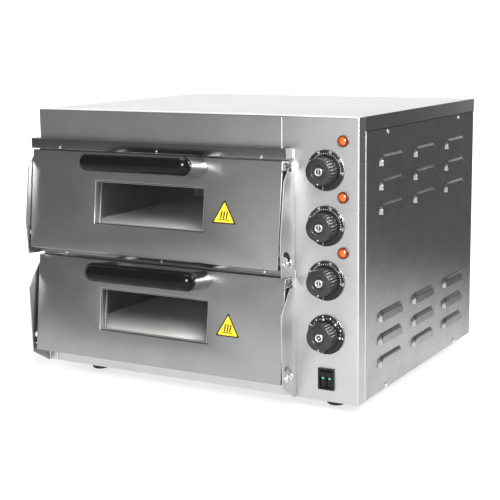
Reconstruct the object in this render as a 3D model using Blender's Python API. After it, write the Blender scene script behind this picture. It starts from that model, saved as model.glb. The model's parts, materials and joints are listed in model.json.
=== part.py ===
"""Countertop pizza oven with two stacked baking decks and a control column on the right.

Metres, +Z up.  The origin is at the bottom centre of the whole oven, on the surface it stands on.
The front faces -Y.  Most places below are given in the cabinet's own frame, whose zero is the
cabinet's left front bottom edge: at() turns them into the oven's frame.
"""
import math

import bmesh
import bpy
from mathutils import Matrix, Vector

# ---- driving dimensions -------------------------------------------------------------------
WIDTH = 0.560                 # cabinet, side to side
DEPTH = 0.472                 # cabinet, front to back
HEIGHT = 0.412                # cabinet, without its feet
FOOT_HEIGHT = 0.0205
SHEET = 0.001                 # steel sheet
GAP = 0.0003                  # between pieces that touch
DECK_PITCH = 0.170            # one deck above the other
DECKS = {"lower": 0.0015, "upper": DECK_PITCH}

BAY_LEFT = 0.4595             # where the baking decks end and the control column starts
FASCIA_RIGHT = 0.440          # the top fascia is narrower than the decks
FASCIA_BOTTOM = 0.365
RETURN = 0.0225               # how far the front pieces wrap round the sides and the top
SKIRT = 0.021                 # height of the lid's turned-down edge

LEAN = math.radians(7.0)      # a closed door leans back
PIVOT_Y = -0.032              # door hinge axis, in front of the cabinet
PIVOT_Z = 0.033               # and above its deck
DOOR_LEFT = 0.0028
DOOR_RIGHT = 0.4519
DOOR_SLIDE = {"lower": 0.0028, "upper": 0.0}     # each door's sideways play in its bay
DOOR_FACE = -0.0071           # door face, in front of the hinge axis
DOOR_BACK = 0.0110
DOOR_LOW = -0.0088            # bottom edge, below the hinge axis, along the door
DOOR_TOP = 0.1469
WINDOW_CENTRE = 0.2264
WINDOW_HALF = 0.0985
WINDOW_LOW = 0.0375
WINDOW_TOP = 0.1030
GLASS_FRONT = 0.0024
GLASS_THICK = 0.004
GLASS_MARGIN = 0.008

HANDLE_CENTRE = 0.2312
HANDLE_HALF = 0.083           # centre to each leg's axis
HANDLE_RISE = 0.1325
HANDLE_STANDOFF = 0.048
HANDLE_RADIUS = 0.0145
LEG_RADIUS = 0.0135

PLATE_THICK = 0.0015          # fixed hinge plates beside each door
PLATE_OUTLINE = {             # (y, z) round each plate, from the cabinet's bottom to its top
    "lower": [(-0.0003, 0.0), (-0.0044, 0.0), (-0.0413, 0.0225), (-0.0440, 0.1300),
              (-0.0162, 0.1655), (-0.0003, 0.1810)],
    "upper": [(-0.0003, 0.1825), (-0.0190, 0.1825), (-0.0413, 0.1848), (-0.0446, 0.2365),
              (-0.0325, 0.3212), (-0.0150, 0.3435), (-0.0003, 0.3495)]}
SLOT_RADIUS = 0.0147          # guide pin's circle round the hinge axis
SLOT_HALF = 0.004
GUIDE_RADIUS = 0.0028
PIVOT_RADIUS = 0.0025
PIVOT_HOLE = 0.0026

RAILS = {"lower": (-0.0165, 0.1845, 0.1975), "upper": (-0.0235, 0.3515, 0.3675)}     # front, bottom, top
FRAME_SEAM = 0.191            # between the two front frames, behind the lower rail

CAVITY_LEFT = 0.023           # inside of a baking chamber
CAVITY_RIGHT = 0.4365
CAVITY_FLOOR = 0.019
CAVITY_TOP = 0.163
CAVITY_BACK = 0.419
NECK_LEFT = 0.030             # steel neck that a door closes onto
NECK_RIGHT = 0.4295
NECK_LOW = 0.040
NECK_TOP = 0.160
STONE_BOTTOM = 0.042
STONE_THICK = 0.010
STONE_SIZE = 0.400
LEDGE = 0.010

TUBE_RADIUS = 0.004           # heating elements
LOW_ELEMENT = 0.030
HIGH_ELEMENT = 0.153
TERMINAL_Y = (0.205, 0.235)

DIAL_X = 0.509                # controls on the column
DIAL_Z = {"upper_top": 0.337, "upper_bottom": 0.258, "lower": 0.179, "timer": 0.100}
LAMP_X = 0.5363
LAMP_Z = {"upper_top": 0.379, "upper_bottom": 0.300, "lower": 0.221}
SWITCH_X = 0.5091
SWITCH_Z = 0.0335
SPINDLE_RADIUS = 0.003
SPINDLE_BORE = 0.00312
DIAL_RADIUS = 0.029
DIAL_THICK = 0.002
KNOB_RADIUS = 0.021
KNOB_HEIGHT = 0.025

FOOT_RADIUS = 0.014
FOOT_INSET = (0.062, 0.056)
GLAND_X = 0.515
GLAND_Z = 0.060
GLAND_OUT = 0.014

LOUVRE_LENGTH = 0.086
LOUVRE_HEIGHT = 0.016
LOUVRE_OUT = 0.005
LOUVRE_COLUMNS = (0.1145, 0.2455, 0.3785)
LOUVRE_ROWS = (0.038, 0.0725, 0.1075, 0.267, 0.3025, 0.3377)

# front of the whole oven is the door handle, its back is the cable gland
HANDLE_FRONT = (PIVOT_Y - HANDLE_RADIUS - (HANDLE_STANDOFF - DOOR_FACE) * math.cos(LEAN)
                + HANDLE_RISE * math.sin(LEAN))
ORIGIN = Vector((WIDTH / 2, (HANDLE_FRONT + DEPTH + GLAND_OUT) / 2, -FOOT_HEIGHT))


def at(x, y, z):
    """A place in the cabinet's frame, in the oven's frame."""
    return Vector((x, y, z)) - ORIGIN


# ---- materials ------------------------------------------------------------------------------
def material(name, colour, roughness, metallic):
    mat = bpy.data.materials.new(name)
    mat.use_nodes = True
    shader = mat.node_tree.nodes["Principled BSDF"]
    shader.inputs["Base Color"].default_value = (*colour, 1.0)
    shader.inputs["Roughness"].default_value = roughness
    shader.inputs["Metallic"].default_value = metallic
    mat.diffuse_color = (*colour, 1.0)
    return mat


STEEL = ((0.62, 0.62, 0.61), 0.32, 1.0)
DARK_STEEL = ((0.40, 0.40, 0.40), 0.45, 1.0)
CHROME = ((0.80, 0.80, 0.80), 0.12, 1.0)
BLACK = ((0.012, 0.012, 0.013), 0.25, 0.0)
RUBBER = ((0.02, 0.02, 0.02), 0.75, 0.0)
STONE = ((0.62, 0.58, 0.52), 0.9, 0.0)
WOOL = ((0.85, 0.84, 0.78), 0.95, 0.0)
GLASS = ((0.55, 0.60, 0.58), 0.05, 0.0)
AMBER = ((0.95, 0.22, 0.02), 0.2, 0.0)
CREAM = ((0.75, 0.72, 0.62), 0.5, 0.0)


# ---- building blocks --------------------------------------------------------------------------
def add(name, bm, look, parent=None, smooth=False):
    """A named object from a bmesh, with its own material."""
    mesh = bpy.data.meshes.new(name)
    bmesh.ops.recalc_face_normals(bm, faces=bm.faces)
    bm.to_mesh(mesh)
    bm.free()
    obj = bpy.data.objects.new(name, mesh)
    bpy.context.scene.collection.objects.link(obj)
    if look:
        mesh.materials.append(material(name, *look))
    if smooth:
        mesh.shade_smooth()
        mesh.set_sharp_from_angle(angle=math.radians(35))
    if parent:
        obj.parent = parent
    return obj


def add_box(bm, low, high):
    """A box between two corners, added to a bmesh."""
    low, high = Vector(low), Vector(high)
    size = high - low
    place = Matrix.Translation((low + high) / 2) @ Matrix.Diagonal((*size, 1.0))
    bmesh.ops.create_cube(bm, size=1.0, matrix=place)


def boxes(*corner_pairs):
    bm = bmesh.new()
    for low, high in corner_pairs:
        add_box(bm, low, high)
    return bm


def turned(profile, segments):
    """A closed body turned about Z.  The profile is (radius, height) pairs from axis to axis."""
    bm = bmesh.new()
    rings = []
    for radius, height in profile:
        if radius == 0:
            rings.append([bm.verts.new((0, 0, height))] * segments)
            continue
        angles = [2 * math.pi * i / segments for i in range(segments)]
        rings.append([bm.verts.new((radius * math.cos(a), radius * math.sin(a), height))
                      for a in angles])
    for first, second in zip(rings, rings[1:]):
        for i in range(segments):
            j = (i + 1) % segments
            corners = [first[i], first[j], second[j], second[i]]
            bm.faces.new(dict.fromkeys(corners))
    return bm


def ring_turned(profile, segments):
    """A body turned about Z from a closed (radius, height) outline that stays off the axis."""
    bm = bmesh.new()
    rings = []
    for radius, height in profile:
        angles = [2 * math.pi * i / segments for i in range(segments)]
        rings.append([bm.verts.new((radius * math.cos(a), radius * math.sin(a), height))
                      for a in angles])
    for first, second in zip(rings, rings[1:] + rings[:1]):
        for i in range(segments):
            j = (i + 1) % segments
            bm.faces.new((first[i], first[j], second[j], second[i]))
    return bm


def prism(outline, x_low, x_high):
    """An outline of (y, z) points, extruded along X."""
    bm = bmesh.new()
    face = bm.faces.new([bm.verts.new((x_low, y, z)) for y, z in outline])
    grown = bmesh.ops.extrude_face_region(bm, geom=[face])
    moved = [v for v in grown["geom"] if isinstance(v, bmesh.types.BMVert)]
    bmesh.ops.translate(bm, verts=moved, vec=(x_high - x_low, 0, 0))
    return bm


def rounded_path(points, radius, steps):
    """A polyline with each inner corner rounded by an arc."""
    path = [Vector(points[0])]
    for before, corner, after in zip(points, points[1:], points[2:]):
        corner = Vector(corner)
        to_before = (Vector(before) - corner).normalized()
        to_after = (Vector(after) - corner).normalized()
        centre = corner + (to_before + to_after) * radius
        for i in range(steps + 1):
            turn = math.pi / 2 * i / steps
            path.append(centre - to_after * radius * math.cos(turn) - to_before * radius * math.sin(turn))
    path.append(Vector(points[-1]))
    return path


def planar_tube(path, radius, sides, normal):
    """A round bar along a flat path, with closed ends."""
    bm = bmesh.new()
    normal = Vector(normal)
    rings = []
    for i, point in enumerate(path):
        along_in = (point - path[max(i - 1, 0)]).normalized() if i else None
        along_out = (path[i + 1] - point).normalized() if i + 1 < len(path) else None
        along = ((along_in or along_out) + (along_out or along_in)).normalized()
        across = along.cross(normal).normalized()
        ring = []
        for k in range(sides):
            a = 2 * math.pi * k / sides
            ring.append(bm.verts.new(point + across * radius * math.cos(a) + normal * radius * math.sin(a)))
        rings.append(ring)
    for first, second in zip(rings, rings[1:]):
        for k in range(sides):
            m = (k + 1) % sides
            bm.faces.new((first[k], first[m], second[m], second[k]))
    bm.faces.new(rings[0])
    bm.faces.new(rings[-1])
    return bm


def combine(obj, name, bm, operation, parent=None):
    """Joins a hidden helper body to an object, or cuts it away."""
    helper = add(name, bm, None, parent)
    helper.hide_render = True
    helper.display_type = "WIRE"
    modifier = obj.modifiers.new(name, "BOOLEAN")
    modifier.operation = operation
    modifier.solver = "EXACT"
    modifier.object = helper
    return helper


def cut(obj, bm, parent=None):
    return combine(obj, "cut_" + obj.name, bm, "DIFFERENCE", parent)


def join(obj, bm, parent=None):
    return combine(obj, "join_" + obj.name, bm, "UNION", parent)


def shell(name, low, high, look, open_sides, parent=None, thickness=SHEET):
    """A sheet-metal box with some sides left open, such as {"-y", "+z"}."""
    low, high = Vector(low), Vector(high)
    inner_low = low + Vector((thickness,) * 3)
    inner_high = high - Vector((thickness,) * 3)
    for side in open_sides:
        axis = "xyz".index(side[1])
        if side[0] == "-":
            inner_low[axis] = low[axis] - 0.01
        else:
            inner_high[axis] = high[axis] + 0.01
    obj = add(name, boxes((low, high)), look, parent)
    cut(obj, boxes((inner_low, inner_high)), parent)
    return obj


def cylinder(radius, low, high, segments=24):
    """A cylinder along Y, about the origin, between two places on Y."""
    bm = turned([(0, low), (radius, low), (radius, high), (0, high)], segments)
    bmesh.ops.rotate(bm, verts=bm.verts, cent=(0, 0, 0), matrix=Matrix.Rotation(-math.pi / 2, 3, "X"))
    return bm


def moved(bm, place):
    bmesh.ops.translate(bm, verts=bm.verts, vec=place)
    return bm


def facing_front(bm):
    """Turns a body made about +Z so that +Z points out of the oven's front, -Y."""
    bmesh.ops.rotate(bm, verts=bm.verts, cent=(0, 0, 0), matrix=Matrix.Rotation(math.pi / 2, 3, "X"))
    return bm


# ---- cabinet ----------------------------------------------------------------------------------
def base_pan():
    """The tray under everything, with the wall between the decks and the control column welded to it."""
    low = at(0.0025, 0.0015, GAP)
    high = at(WIDTH - 0.0025, DEPTH - 0.0025, 0.017)
    pan = shell("base_pan", low, high, STEEL, {"+z"})
    wall_left = BAY_LEFT + 0.0008
    join(pan, boxes((at(wall_left, 0.0030, GAP + SHEET / 2),
                     at(wall_left + SHEET, DEPTH - 0.0040, HEIGHT - 0.0015))))
    for deck in DECKS.values():
        for rise in (LOW_ELEMENT, HIGH_ELEMENT):
            cut(pan, boxes((at(BAY_LEFT - 0.01, 0.195, deck + rise - 0.008),
                            at(BAY_LEFT + 0.01, 0.245, deck + rise + 0.008))))


def back_panel():
    low, high = at(0.0025, DEPTH - 0.0020, 0.0), at(WIDTH - 0.0025, DEPTH - SHEET, 0.405)
    panel = add("back_panel", boxes((low, high)), STEEL)
    cut(panel, moved(cylinder(0.0075, -0.01, 0.01), at(GLAND_X, DEPTH, GLAND_Z)))
    slots = boxes()
    for row in range(6):
        z = 0.250 + 0.018 * row
        add_box(slots, at(0.478, DEPTH - 0.01, z), at(0.544, DEPTH + 0.01, z + 0.005))
    cut(panel, slots)


def louvred_sheet(outward):
    """A side panel as one surface, with its louvres pressed out and open at their lower edge."""
    bm = bmesh.new()
    columns = sorted([RETURN + GAP, DEPTH - SHEET]
                     + [y + s * LOUVRE_LENGTH / 2 for y in LOUVRE_COLUMNS for s in (-1, 1)])
    rows = sorted([0.0, 0.405] + [z + d for z in LOUVRE_ROWS for d in (0.0, LOUVRE_HEIGHT)])
    grid = [[bm.verts.new((0, y, z)) for z in rows] for y in columns]
    for i in range(len(columns) - 1):
        for j in range(len(rows) - 1):
            corners = (grid[i][j], grid[i + 1][j], grid[i + 1][j + 1], grid[i][j + 1])
            if i % 2 == 0 or j % 2 == 0:
                bm.faces.new(corners)
                continue
            low_a, low_b, high_b, high_a = corners
            lip_a = bm.verts.new(low_a.co + Vector((outward * LOUVRE_OUT, 0.004, 0.0008)))
            lip_b = bm.verts.new(low_b.co + Vector((outward * LOUVRE_OUT, -0.004, 0.0008)))
            bm.faces.new((lip_a, lip_b, high_b, high_a))
            bm.faces.new((low_a, lip_a, high_a))
            bm.faces.new((lip_b, low_b, high_b))
    return bm


def side_panels():
    for name, x, outward in (("left_side_panel", SHEET, -1), ("right_side_panel", WIDTH - SHEET, 1)):
        bm = louvred_sheet(outward)
        moved(bm, at(x, 0, 0))
        panel = add(name, bm, STEEL)
        first = panel.data.polygons[0].normal
        solidify = panel.modifiers.new("sheet", "SOLIDIFY")
        solidify.thickness = 0.0008
        solidify.offset = -1.0 if first.x * outward > 0 else 1.0


def lid():
    low = at(-0.0002, RETURN + GAP, HEIGHT - SKIRT)
    high = at(WIDTH + 0.0002, DEPTH + 0.0002, HEIGHT)
    shell("lid", low, high, STEEL, {"-z", "-y"}, thickness=0.0008)


def top_fascia():
    shell("top_fascia", at(0, 0, FASCIA_BOTTOM), at(FASCIA_RIGHT, RETURN, HEIGHT), STEEL, {"+y", "-z", "+x"})


def front_frames():
    """One sheet behind each door, with a neck round the chamber's mouth that the door closes onto."""
    heights = {"lower": (0.0, FRAME_SEAM), "upper": (FRAME_SEAM + GAP, FASCIA_BOTTOM - GAP)}
    for name, deck in DECKS.items():
        bottom, top = heights[name]
        plate = add(name + "_front_frame", boxes((at(0, 0, bottom), at(BAY_LEFT, SHEET, top))), DARK_STEEL)
        neck = boxes((at(NECK_LEFT, PIVOT_Y, deck + NECK_LOW), at(NECK_RIGHT, SHEET / 2, deck + NECK_TOP)))
        join(plate, neck)
        mouth = boxes((at(NECK_LEFT + SHEET, -0.06, deck + NECK_LOW + SHEET),
                       at(NECK_RIGHT - SHEET, 0.02, deck + NECK_TOP - SHEET)))
        cut(plate, mouth)
        door_space = boxes((Vector((-0.3, -0.05, -0.02)), Vector((0.3, DOOR_BACK + 0.001, 0.16))))
        bmesh.ops.transform(door_space, verts=door_space.verts, matrix=door_place(name))
        cut(plate, door_space)


def control_panel():
    low, high = at(BAY_LEFT + GAP, 0, 0), at(WIDTH, RETURN, HEIGHT)
    panel = shell("control_panel", low, high, STEEL, {"+y", "-z", "-x"})
    overlap = BAY_LEFT + 0.002
    join(panel, boxes((at(FASCIA_RIGHT + GAP, 0, FASCIA_BOTTOM), at(overlap, SHEET, HEIGHT))))
    join(panel, boxes((at(FASCIA_RIGHT + GAP, SHEET / 2, HEIGHT - SHEET), at(overlap, RETURN, HEIGHT))))
    holes = boxes()
    half_x, half_z = 0.0114, 0.0144
    add_box(holes, at(SWITCH_X - half_x, -0.01, SWITCH_Z - half_z),
            at(SWITCH_X + half_x, 0.01, SWITCH_Z + half_z))
    cut(panel, holes)
    for z in DIAL_Z.values():
        cut(panel, moved(cylinder(0.005, -0.01, 0.01, 16), at(DIAL_X, 0, z)))
    for z in LAMP_Z.values():
        cut(panel, moved(cylinder(0.0055, -0.01, 0.01, 16), at(LAMP_X, 0, z)))


def rails():
    for name, (front, bottom, top) in RAILS.items():
        low, high = at(0.002, front, bottom), at(BAY_LEFT - 0.002, -GAP, top)
        shell(name + "_rail", low, high, DARK_STEEL, {"+y"})


def arc_slot(deck, half, x_low, x_high):
    """The guide pin's slot: a quarter turn round the hinge axis, from behind it to above it."""
    arc_steps, end_steps = 8, 6

    def around(centre, radius, start, turn, steps):
        angles = [start + turn * i / steps for i in range(steps + 1)]
        return [centre + Vector((math.cos(a), math.sin(a))) * radius for a in angles]

    middle = Vector((0.0, 0.0))
    behind, above = Vector((SLOT_RADIUS, 0.0)), Vector((0.0, SLOT_RADIUS))
    points = around(middle, SLOT_RADIUS + half, 0.0, math.pi / 2, arc_steps)
    points += around(above, half, math.pi / 2, math.pi, end_steps)[1:-1]
    points += around(middle, SLOT_RADIUS - half, math.pi / 2, -math.pi / 2, arc_steps)
    points += around(behind, half, math.pi, math.pi, end_steps)[1:-1]
    axis = at(0, PIVOT_Y, deck + PIVOT_Z)
    return prism([(p.x + axis.y, p.y + axis.z) for p in points], x_low, x_high)


def hinge_plates():
    for deck_name, deck in DECKS.items():
        outline = [(y - ORIGIN.y, z - ORIGIN.z) for y, z in PLATE_OUTLINE[deck_name]]
        axis = at(0, PIVOT_Y, deck + PIVOT_Z)
        sides = {"left": (0.0, 0.0005), "right": (BAY_LEFT - PLATE_THICK, PLATE_THICK - 0.013)}
        for side, (x, foot_start) in sides.items():
            x_low = at(x, 0, 0).x
            x_high = x_low + PLATE_THICK
            plate = add(f"{deck_name}_{side}_hinge_plate", prism(outline, x_low, x_high), STEEL)
            foot_x = x + foot_start
            join(plate, boxes((at(foot_x, -0.0015, deck + NECK_LOW),
                               at(foot_x + 0.0125, -GAP, deck + NECK_TOP))))
            hole = cylinder(PIVOT_HOLE, -0.01, 0.01)
            sideways = Matrix.Rotation(math.pi / 2, 3, "Z")
            bmesh.ops.rotate(hole, verts=hole.verts, cent=(0, 0, 0), matrix=sideways)
            cut(plate, moved(hole, (x_low, axis.y, axis.z)))
            cut(plate, arc_slot(deck, SLOT_HALF, x_low - 0.01, x_high + 0.01))


def feet():
    profile = [(0, 0.0), (FOOT_RADIUS - 0.002, 0.0), (FOOT_RADIUS, 0.002), (FOOT_RADIUS + 0.001, 0.0175),
               (FOOT_RADIUS, FOOT_HEIGHT), (0, FOOT_HEIGHT)]
    places = {"front_left": (FOOT_INSET[0], FOOT_INSET[1]),
              "front_right": (WIDTH - FOOT_INSET[0], FOOT_INSET[1]),
              "rear_left": (FOOT_INSET[0], DEPTH - FOOT_INSET[1]),
              "rear_right": (WIDTH - FOOT_INSET[0], DEPTH - FOOT_INSET[1])}
    for name, (x, y) in places.items():
        add(name + "_foot", moved(turned(profile, 20), at(x, y, -FOOT_HEIGHT)), RUBBER, smooth=True)


# ---- baking chambers -----------------------------------------------------------------------------
def chambers():
    for name, deck in DECKS.items():
        low = at(CAVITY_LEFT - SHEET, 0.0013, deck + CAVITY_FLOOR - SHEET)
        high = at(CAVITY_RIGHT + SHEET, CAVITY_BACK + SHEET, deck + CAVITY_TOP + SHEET)
        liner = shell(name + "_chamber", low, high, DARK_STEEL, set())
        cut(liner, boxes((at(NECK_LEFT + SHEET, -0.01, deck + NECK_LOW + SHEET),
                          at(NECK_RIGHT - SHEET, 0.01, deck + NECK_TOP - SHEET))))
        ledge_top = deck + STONE_BOTTOM - GAP
        for x in (CAVITY_LEFT - 0.0005, CAVITY_RIGHT - LEDGE):
            join(liner, boxes((at(x, 0.010, ledge_top - 0.0015),
                               at(x + LEDGE + 0.0005, CAVITY_BACK - 0.010, ledge_top))))
        for rise in (LOW_ELEMENT, HIGH_ELEMENT):
            cut(liner, boxes((at(CAVITY_RIGHT - 0.002, 0.199, deck + rise - 0.006),
                              at(CAVITY_RIGHT + 0.010, 0.241, deck + rise + 0.006))))


def stones():
    left = (CAVITY_LEFT + CAVITY_RIGHT - STONE_SIZE) / 2
    front = 0.006
    for name, deck in DECKS.items():
        bottom = deck + STONE_BOTTOM
        low, high = at(left, front, bottom), at(left + STONE_SIZE, front + STONE_SIZE, bottom + STONE_THICK)
        stone = add(name + "_baking_stone", boxes((low, high)), STONE)
        edge = stone.modifiers.new("edge", "BEVEL")
        edge.width = 0.0012
        edge.segments = 1


def heating_elements():
    """A loop of tube on a flange, with both ends through the chamber's right wall."""
    reach = 0.016
    front_y, back_y = TERMINAL_Y
    corner_points = [(BAY_LEFT + reach, front_y), (0.395, front_y), (0.395, 0.075), (0.065, 0.075),
                     (0.065, 0.365), (0.395, 0.365), (0.395, back_y), (BAY_LEFT + reach, back_y)]
    for name, deck in DECKS.items():
        for level, rise in (("bottom", LOW_ELEMENT), ("top", HIGH_ELEMENT)):
            points = [at(x, y, deck + rise) for x, y in corner_points]
            tube = planar_tube(rounded_path(points, 0.014, 3), TUBE_RADIUS, 6, (0, 0, 1))
            element = add(f"{name}_{level}_heating_element", tube, DARK_STEEL, smooth=True)
            join(element, boxes((at(CAVITY_RIGHT + SHEET + GAP, 0.190, deck + rise - 0.0095),
                                 at(CAVITY_RIGHT + SHEET + 0.0018, 0.250, deck + rise + 0.0095))))


def insulation():
    low = at(0.0045, 0.0030, 0.0025)
    high = at(BAY_LEFT - 0.0004, 0.455, 0.400)
    blanket = add("insulation_blanket", boxes((low, high)), WOOL)
    for deck in DECKS.values():
        room = SHEET + 0.0006
        cut(blanket, boxes((at(CAVITY_LEFT - room, -0.01, deck + CAVITY_FLOOR - room),
                            at(CAVITY_RIGHT + room, CAVITY_BACK + room, deck + CAVITY_TOP + room))))
        for rise in (LOW_ELEMENT, HIGH_ELEMENT):
            cut(blanket, boxes((at(CAVITY_RIGHT, 0.187, deck + rise - 0.0110),
                                at(BAY_LEFT + 0.01, 0.253, deck + rise + 0.0110))))


# ---- doors ---------------------------------------------------------------------------------------
def door_place(name):
    """Where a door's own frame is: on its hinge axis, leaning back."""
    axis = at(WIDTH / 2 + DOOR_SLIDE[name], PIVOT_Y, DECKS[name] + PIVOT_Z)
    return Matrix.Translation(axis) @ Matrix.Rotation(-LEAN, 4, "X")


def door_x(x):
    return x - WIDTH / 2


def door_skin(name, pivot):
    """The outer tray of a door: face, four turned-back edges, ears for the guide pins."""
    skin = shell(name + "_door_skin", (door_x(DOOR_LEFT), DOOR_FACE, DOOR_LOW),
                 (door_x(DOOR_RIGHT), DOOR_BACK - 0.0015, DOOR_TOP), STEEL, {"+y"}, pivot)
    window = ((door_x(WINDOW_CENTRE - WINDOW_HALF), DOOR_FACE - 0.01, WINDOW_LOW),
              (door_x(WINDOW_CENTRE + WINDOW_HALF), DOOR_FACE + 0.01, WINDOW_TOP))
    frame_low = (window[0][0] - SHEET, DOOR_FACE + SHEET / 2, WINDOW_LOW - SHEET)
    frame_high = (window[1][0] + SHEET, GLASS_FRONT - GAP, WINDOW_TOP + SHEET)
    join(skin, boxes((frame_low, frame_high)), pivot)
    cut(skin, boxes(window), pivot)
    for x in (DOOR_LEFT, DOOR_RIGHT - SHEET):
        ear = boxes(((door_x(x), 0.0, -0.0020), (door_x(x + SHEET), 0.0195, 0.0065)))
        join(skin, ear, pivot)
    guide_pins(name, skin, pivot)


def door_liner(name, pivot):
    """The inner sheet of a door, with a sleeve that holds the glass against the skin."""
    margin = SHEET + GAP
    liner = add(name + "_door_liner",
                boxes(((door_x(DOOR_LEFT + margin), DOOR_BACK - SHEET, DOOR_LOW + margin),
                       (door_x(DOOR_RIGHT - margin), DOOR_BACK, DOOR_TOP - margin))), DARK_STEEL, pivot)
    left = door_x(WINDOW_CENTRE - WINDOW_HALF)
    right = door_x(WINDOW_CENTRE + WINDOW_HALF)
    back_of_glass = GLASS_FRONT + GLASS_THICK + GAP
    join(liner, boxes(((left - SHEET, back_of_glass, WINDOW_LOW - SHEET),
                       (right + SHEET, DOOR_BACK - SHEET / 2, WINDOW_TOP + SHEET))), pivot)
    cut(liner, boxes(((left, -0.02, WINDOW_LOW), (right, 0.02, WINDOW_TOP))), pivot)


def door_glass(name, pivot):
    reach = WINDOW_HALF + GLASS_MARGIN
    low = (door_x(WINDOW_CENTRE - reach), GLASS_FRONT, WINDOW_LOW - GLASS_MARGIN)
    high = (door_x(WINDOW_CENTRE + reach), GLASS_FRONT + GLASS_THICK, WINDOW_TOP + GLASS_MARGIN)
    add(name + "_door_glass", boxes((low, high)), GLASS, pivot)


def door_handle(name, pivot):
    """A round-ended bar on two legs."""
    bar_y = DOOR_FACE - HANDLE_STANDOFF
    steps = 4
    turns = [math.pi / 2 * i / steps for i in range(steps + 1)]
    cap = [(HANDLE_RADIUS * math.sin(t), HANDLE_HALF + HANDLE_RADIUS * math.cos(t)) for t in turns]
    cap[0] = (0, cap[0][1])
    bar = turned([(r, -h) for r, h in cap] + cap[::-1], 16)
    bmesh.ops.rotate(bar, verts=bar.verts, cent=(0, 0, 0), matrix=Matrix.Rotation(math.pi / 2, 3, "Y"))
    place = (door_x(HANDLE_CENTRE), bar_y, HANDLE_RISE)
    handle = add(name + "_door_handle", moved(bar, place), BLACK, pivot, smooth=True)
    for side in (-1, 1):
        leg = cylinder(LEG_RADIUS, bar_y, DOOR_FACE - GAP, 16)
        join(handle, moved(leg, (door_x(HANDLE_CENTRE + side * HANDLE_HALF), 0, HANDLE_RISE)), pivot)


def side_pin(radius, head, shank, start, outward, y, z):
    """A pin along X, whose head points out of the oven's side."""
    profile = [(0, 0), (radius, 0), (radius, shank), (head, shank), (head, shank + 0.0013),
               (head - 0.0012, shank + 0.0023), (0, shank + 0.0023)]
    bm = turned(profile, 16)
    quarter = Matrix.Rotation(math.pi / 2 * outward, 3, "Y")
    bmesh.ops.rotate(bm, verts=bm.verts, cent=(0, 0, 0), matrix=quarter)
    return moved(bm, (start, y, z))


DOOR_SIDES = (("left", 0.0, DOOR_LEFT, -1), ("right", BAY_LEFT, DOOR_RIGHT, 1))


def guide_pins(name, skin, pivot):
    """Headed studs on the door's ears, which run in the fixed plates' slots."""
    y = SLOT_RADIUS * math.cos(LEAN)
    z = SLOT_RADIUS * math.sin(LEAN)
    for _, plate_outside, edge, outward in DOOR_SIDES:
        start = door_x(edge) - outward * SHEET / 2
        shank = abs(plate_outside - DOOR_SLIDE[name] - edge) + SHEET / 2 + GAP
        join(skin, side_pin(GUIDE_RADIUS, 0.0050, shank, start, outward, y, z), pivot)


def pivot_screws(name, pivot):
    for side, plate_outside, edge, outward in DOOR_SIDES:
        start = door_x(edge) + outward * GAP
        shank = abs(plate_outside - DOOR_SLIDE[name] - edge)
        screw = side_pin(PIVOT_RADIUS, 0.0045, shank, start, outward, 0.0, 0.0)
        add(f"{name}_{side}_pivot_screw", screw, CHROME, pivot, smooth=True)


def doors():
    for name in DECKS:
        pivot = bpy.data.objects.new(name + "_door_hinge", None)
        bpy.context.scene.collection.objects.link(pivot)
        pivot.matrix_world = door_place(name)
        door_skin(name, pivot)
        door_liner(name, pivot)
        door_glass(name, pivot)
        door_handle(name, pivot)
        pivot_screws(name, pivot)


# ---- controls -------------------------------------------------------------------------------------
def dial_plate(name, z):
    plate = ring_turned([(0.0055, GAP), (DIAL_RADIUS, GAP), (DIAL_RADIUS, DIAL_THICK - 0.0004),
                         (DIAL_RADIUS - 0.0008, DIAL_THICK), (0.0055, DIAL_THICK)], 32)
    add(name + "_dial_plate", moved(facing_front(plate), at(DIAL_X, 0, z)), BLACK, smooth=True)


def knob(name, z):
    """Dished grip on a spindle that reaches into its control."""
    base = DIAL_THICK + GAP
    top = DIAL_THICK + KNOB_HEIGHT
    profile = [(0, -0.014), (SPINDLE_RADIUS, -0.014), (SPINDLE_RADIUS, base), (KNOB_RADIUS, base),
               (KNOB_RADIUS, base + 0.004), (KNOB_RADIUS - 0.0012, top - 0.002), (KNOB_RADIUS - 0.0030, top),
               (0.0080, top), (0.0055, top - 0.0035), (0, top - 0.0035)]
    pivot = bpy.data.objects.new(name + "_knob_axis", None)
    bpy.context.scene.collection.objects.link(pivot)
    pivot.location = at(DIAL_X, 0, z)
    add(name + "_knob", facing_front(turned(profile, 28)), BLACK, pivot, smooth=True)


def control_body(name, z, half_x, half_z, deep):
    """A thermostat or timer behind the panel, with a bore for its knob's spindle."""
    start = SHEET + GAP
    low, high = at(DIAL_X - half_x, start, z - half_z), at(DIAL_X + half_x, start + deep, z + half_z)
    body = add(name, boxes((low, high)), CREAM)
    cut(body, moved(cylinder(SPINDLE_BORE, -0.01, 0.016, 16), at(DIAL_X, 0, z)))


def dials():
    for name, z in DIAL_Z.items():
        knob_name = name if name == "timer" else name + "_thermostat"
        dial_plate(knob_name, z)
        knob(knob_name, z)
        if name == "timer":
            control_body("timer_mechanism", z, 0.021, 0.021, 0.034)
        else:
            control_body(name + "_thermostat", z, 0.018, 0.022, 0.024)


def lamps():
    profile = [(0, -0.018), (0.0048, -0.018), (0.0048, GAP), (0.0074, GAP), (0.0074, 0.002),
               (0.0066, 0.0045), (0.0040, 0.0066), (0, 0.0074)]
    for name, z in LAMP_Z.items():
        lens = facing_front(turned(profile, 20))
        add(name + "_heating_lamp", moved(lens, at(LAMP_X, 0, z)), AMBER, smooth=True)


ROCKER_TILT = math.radians(8.0)
ROCKER_AXIS_Y = 0.0030
ROCKER_OFFSET = 0.0053


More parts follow.
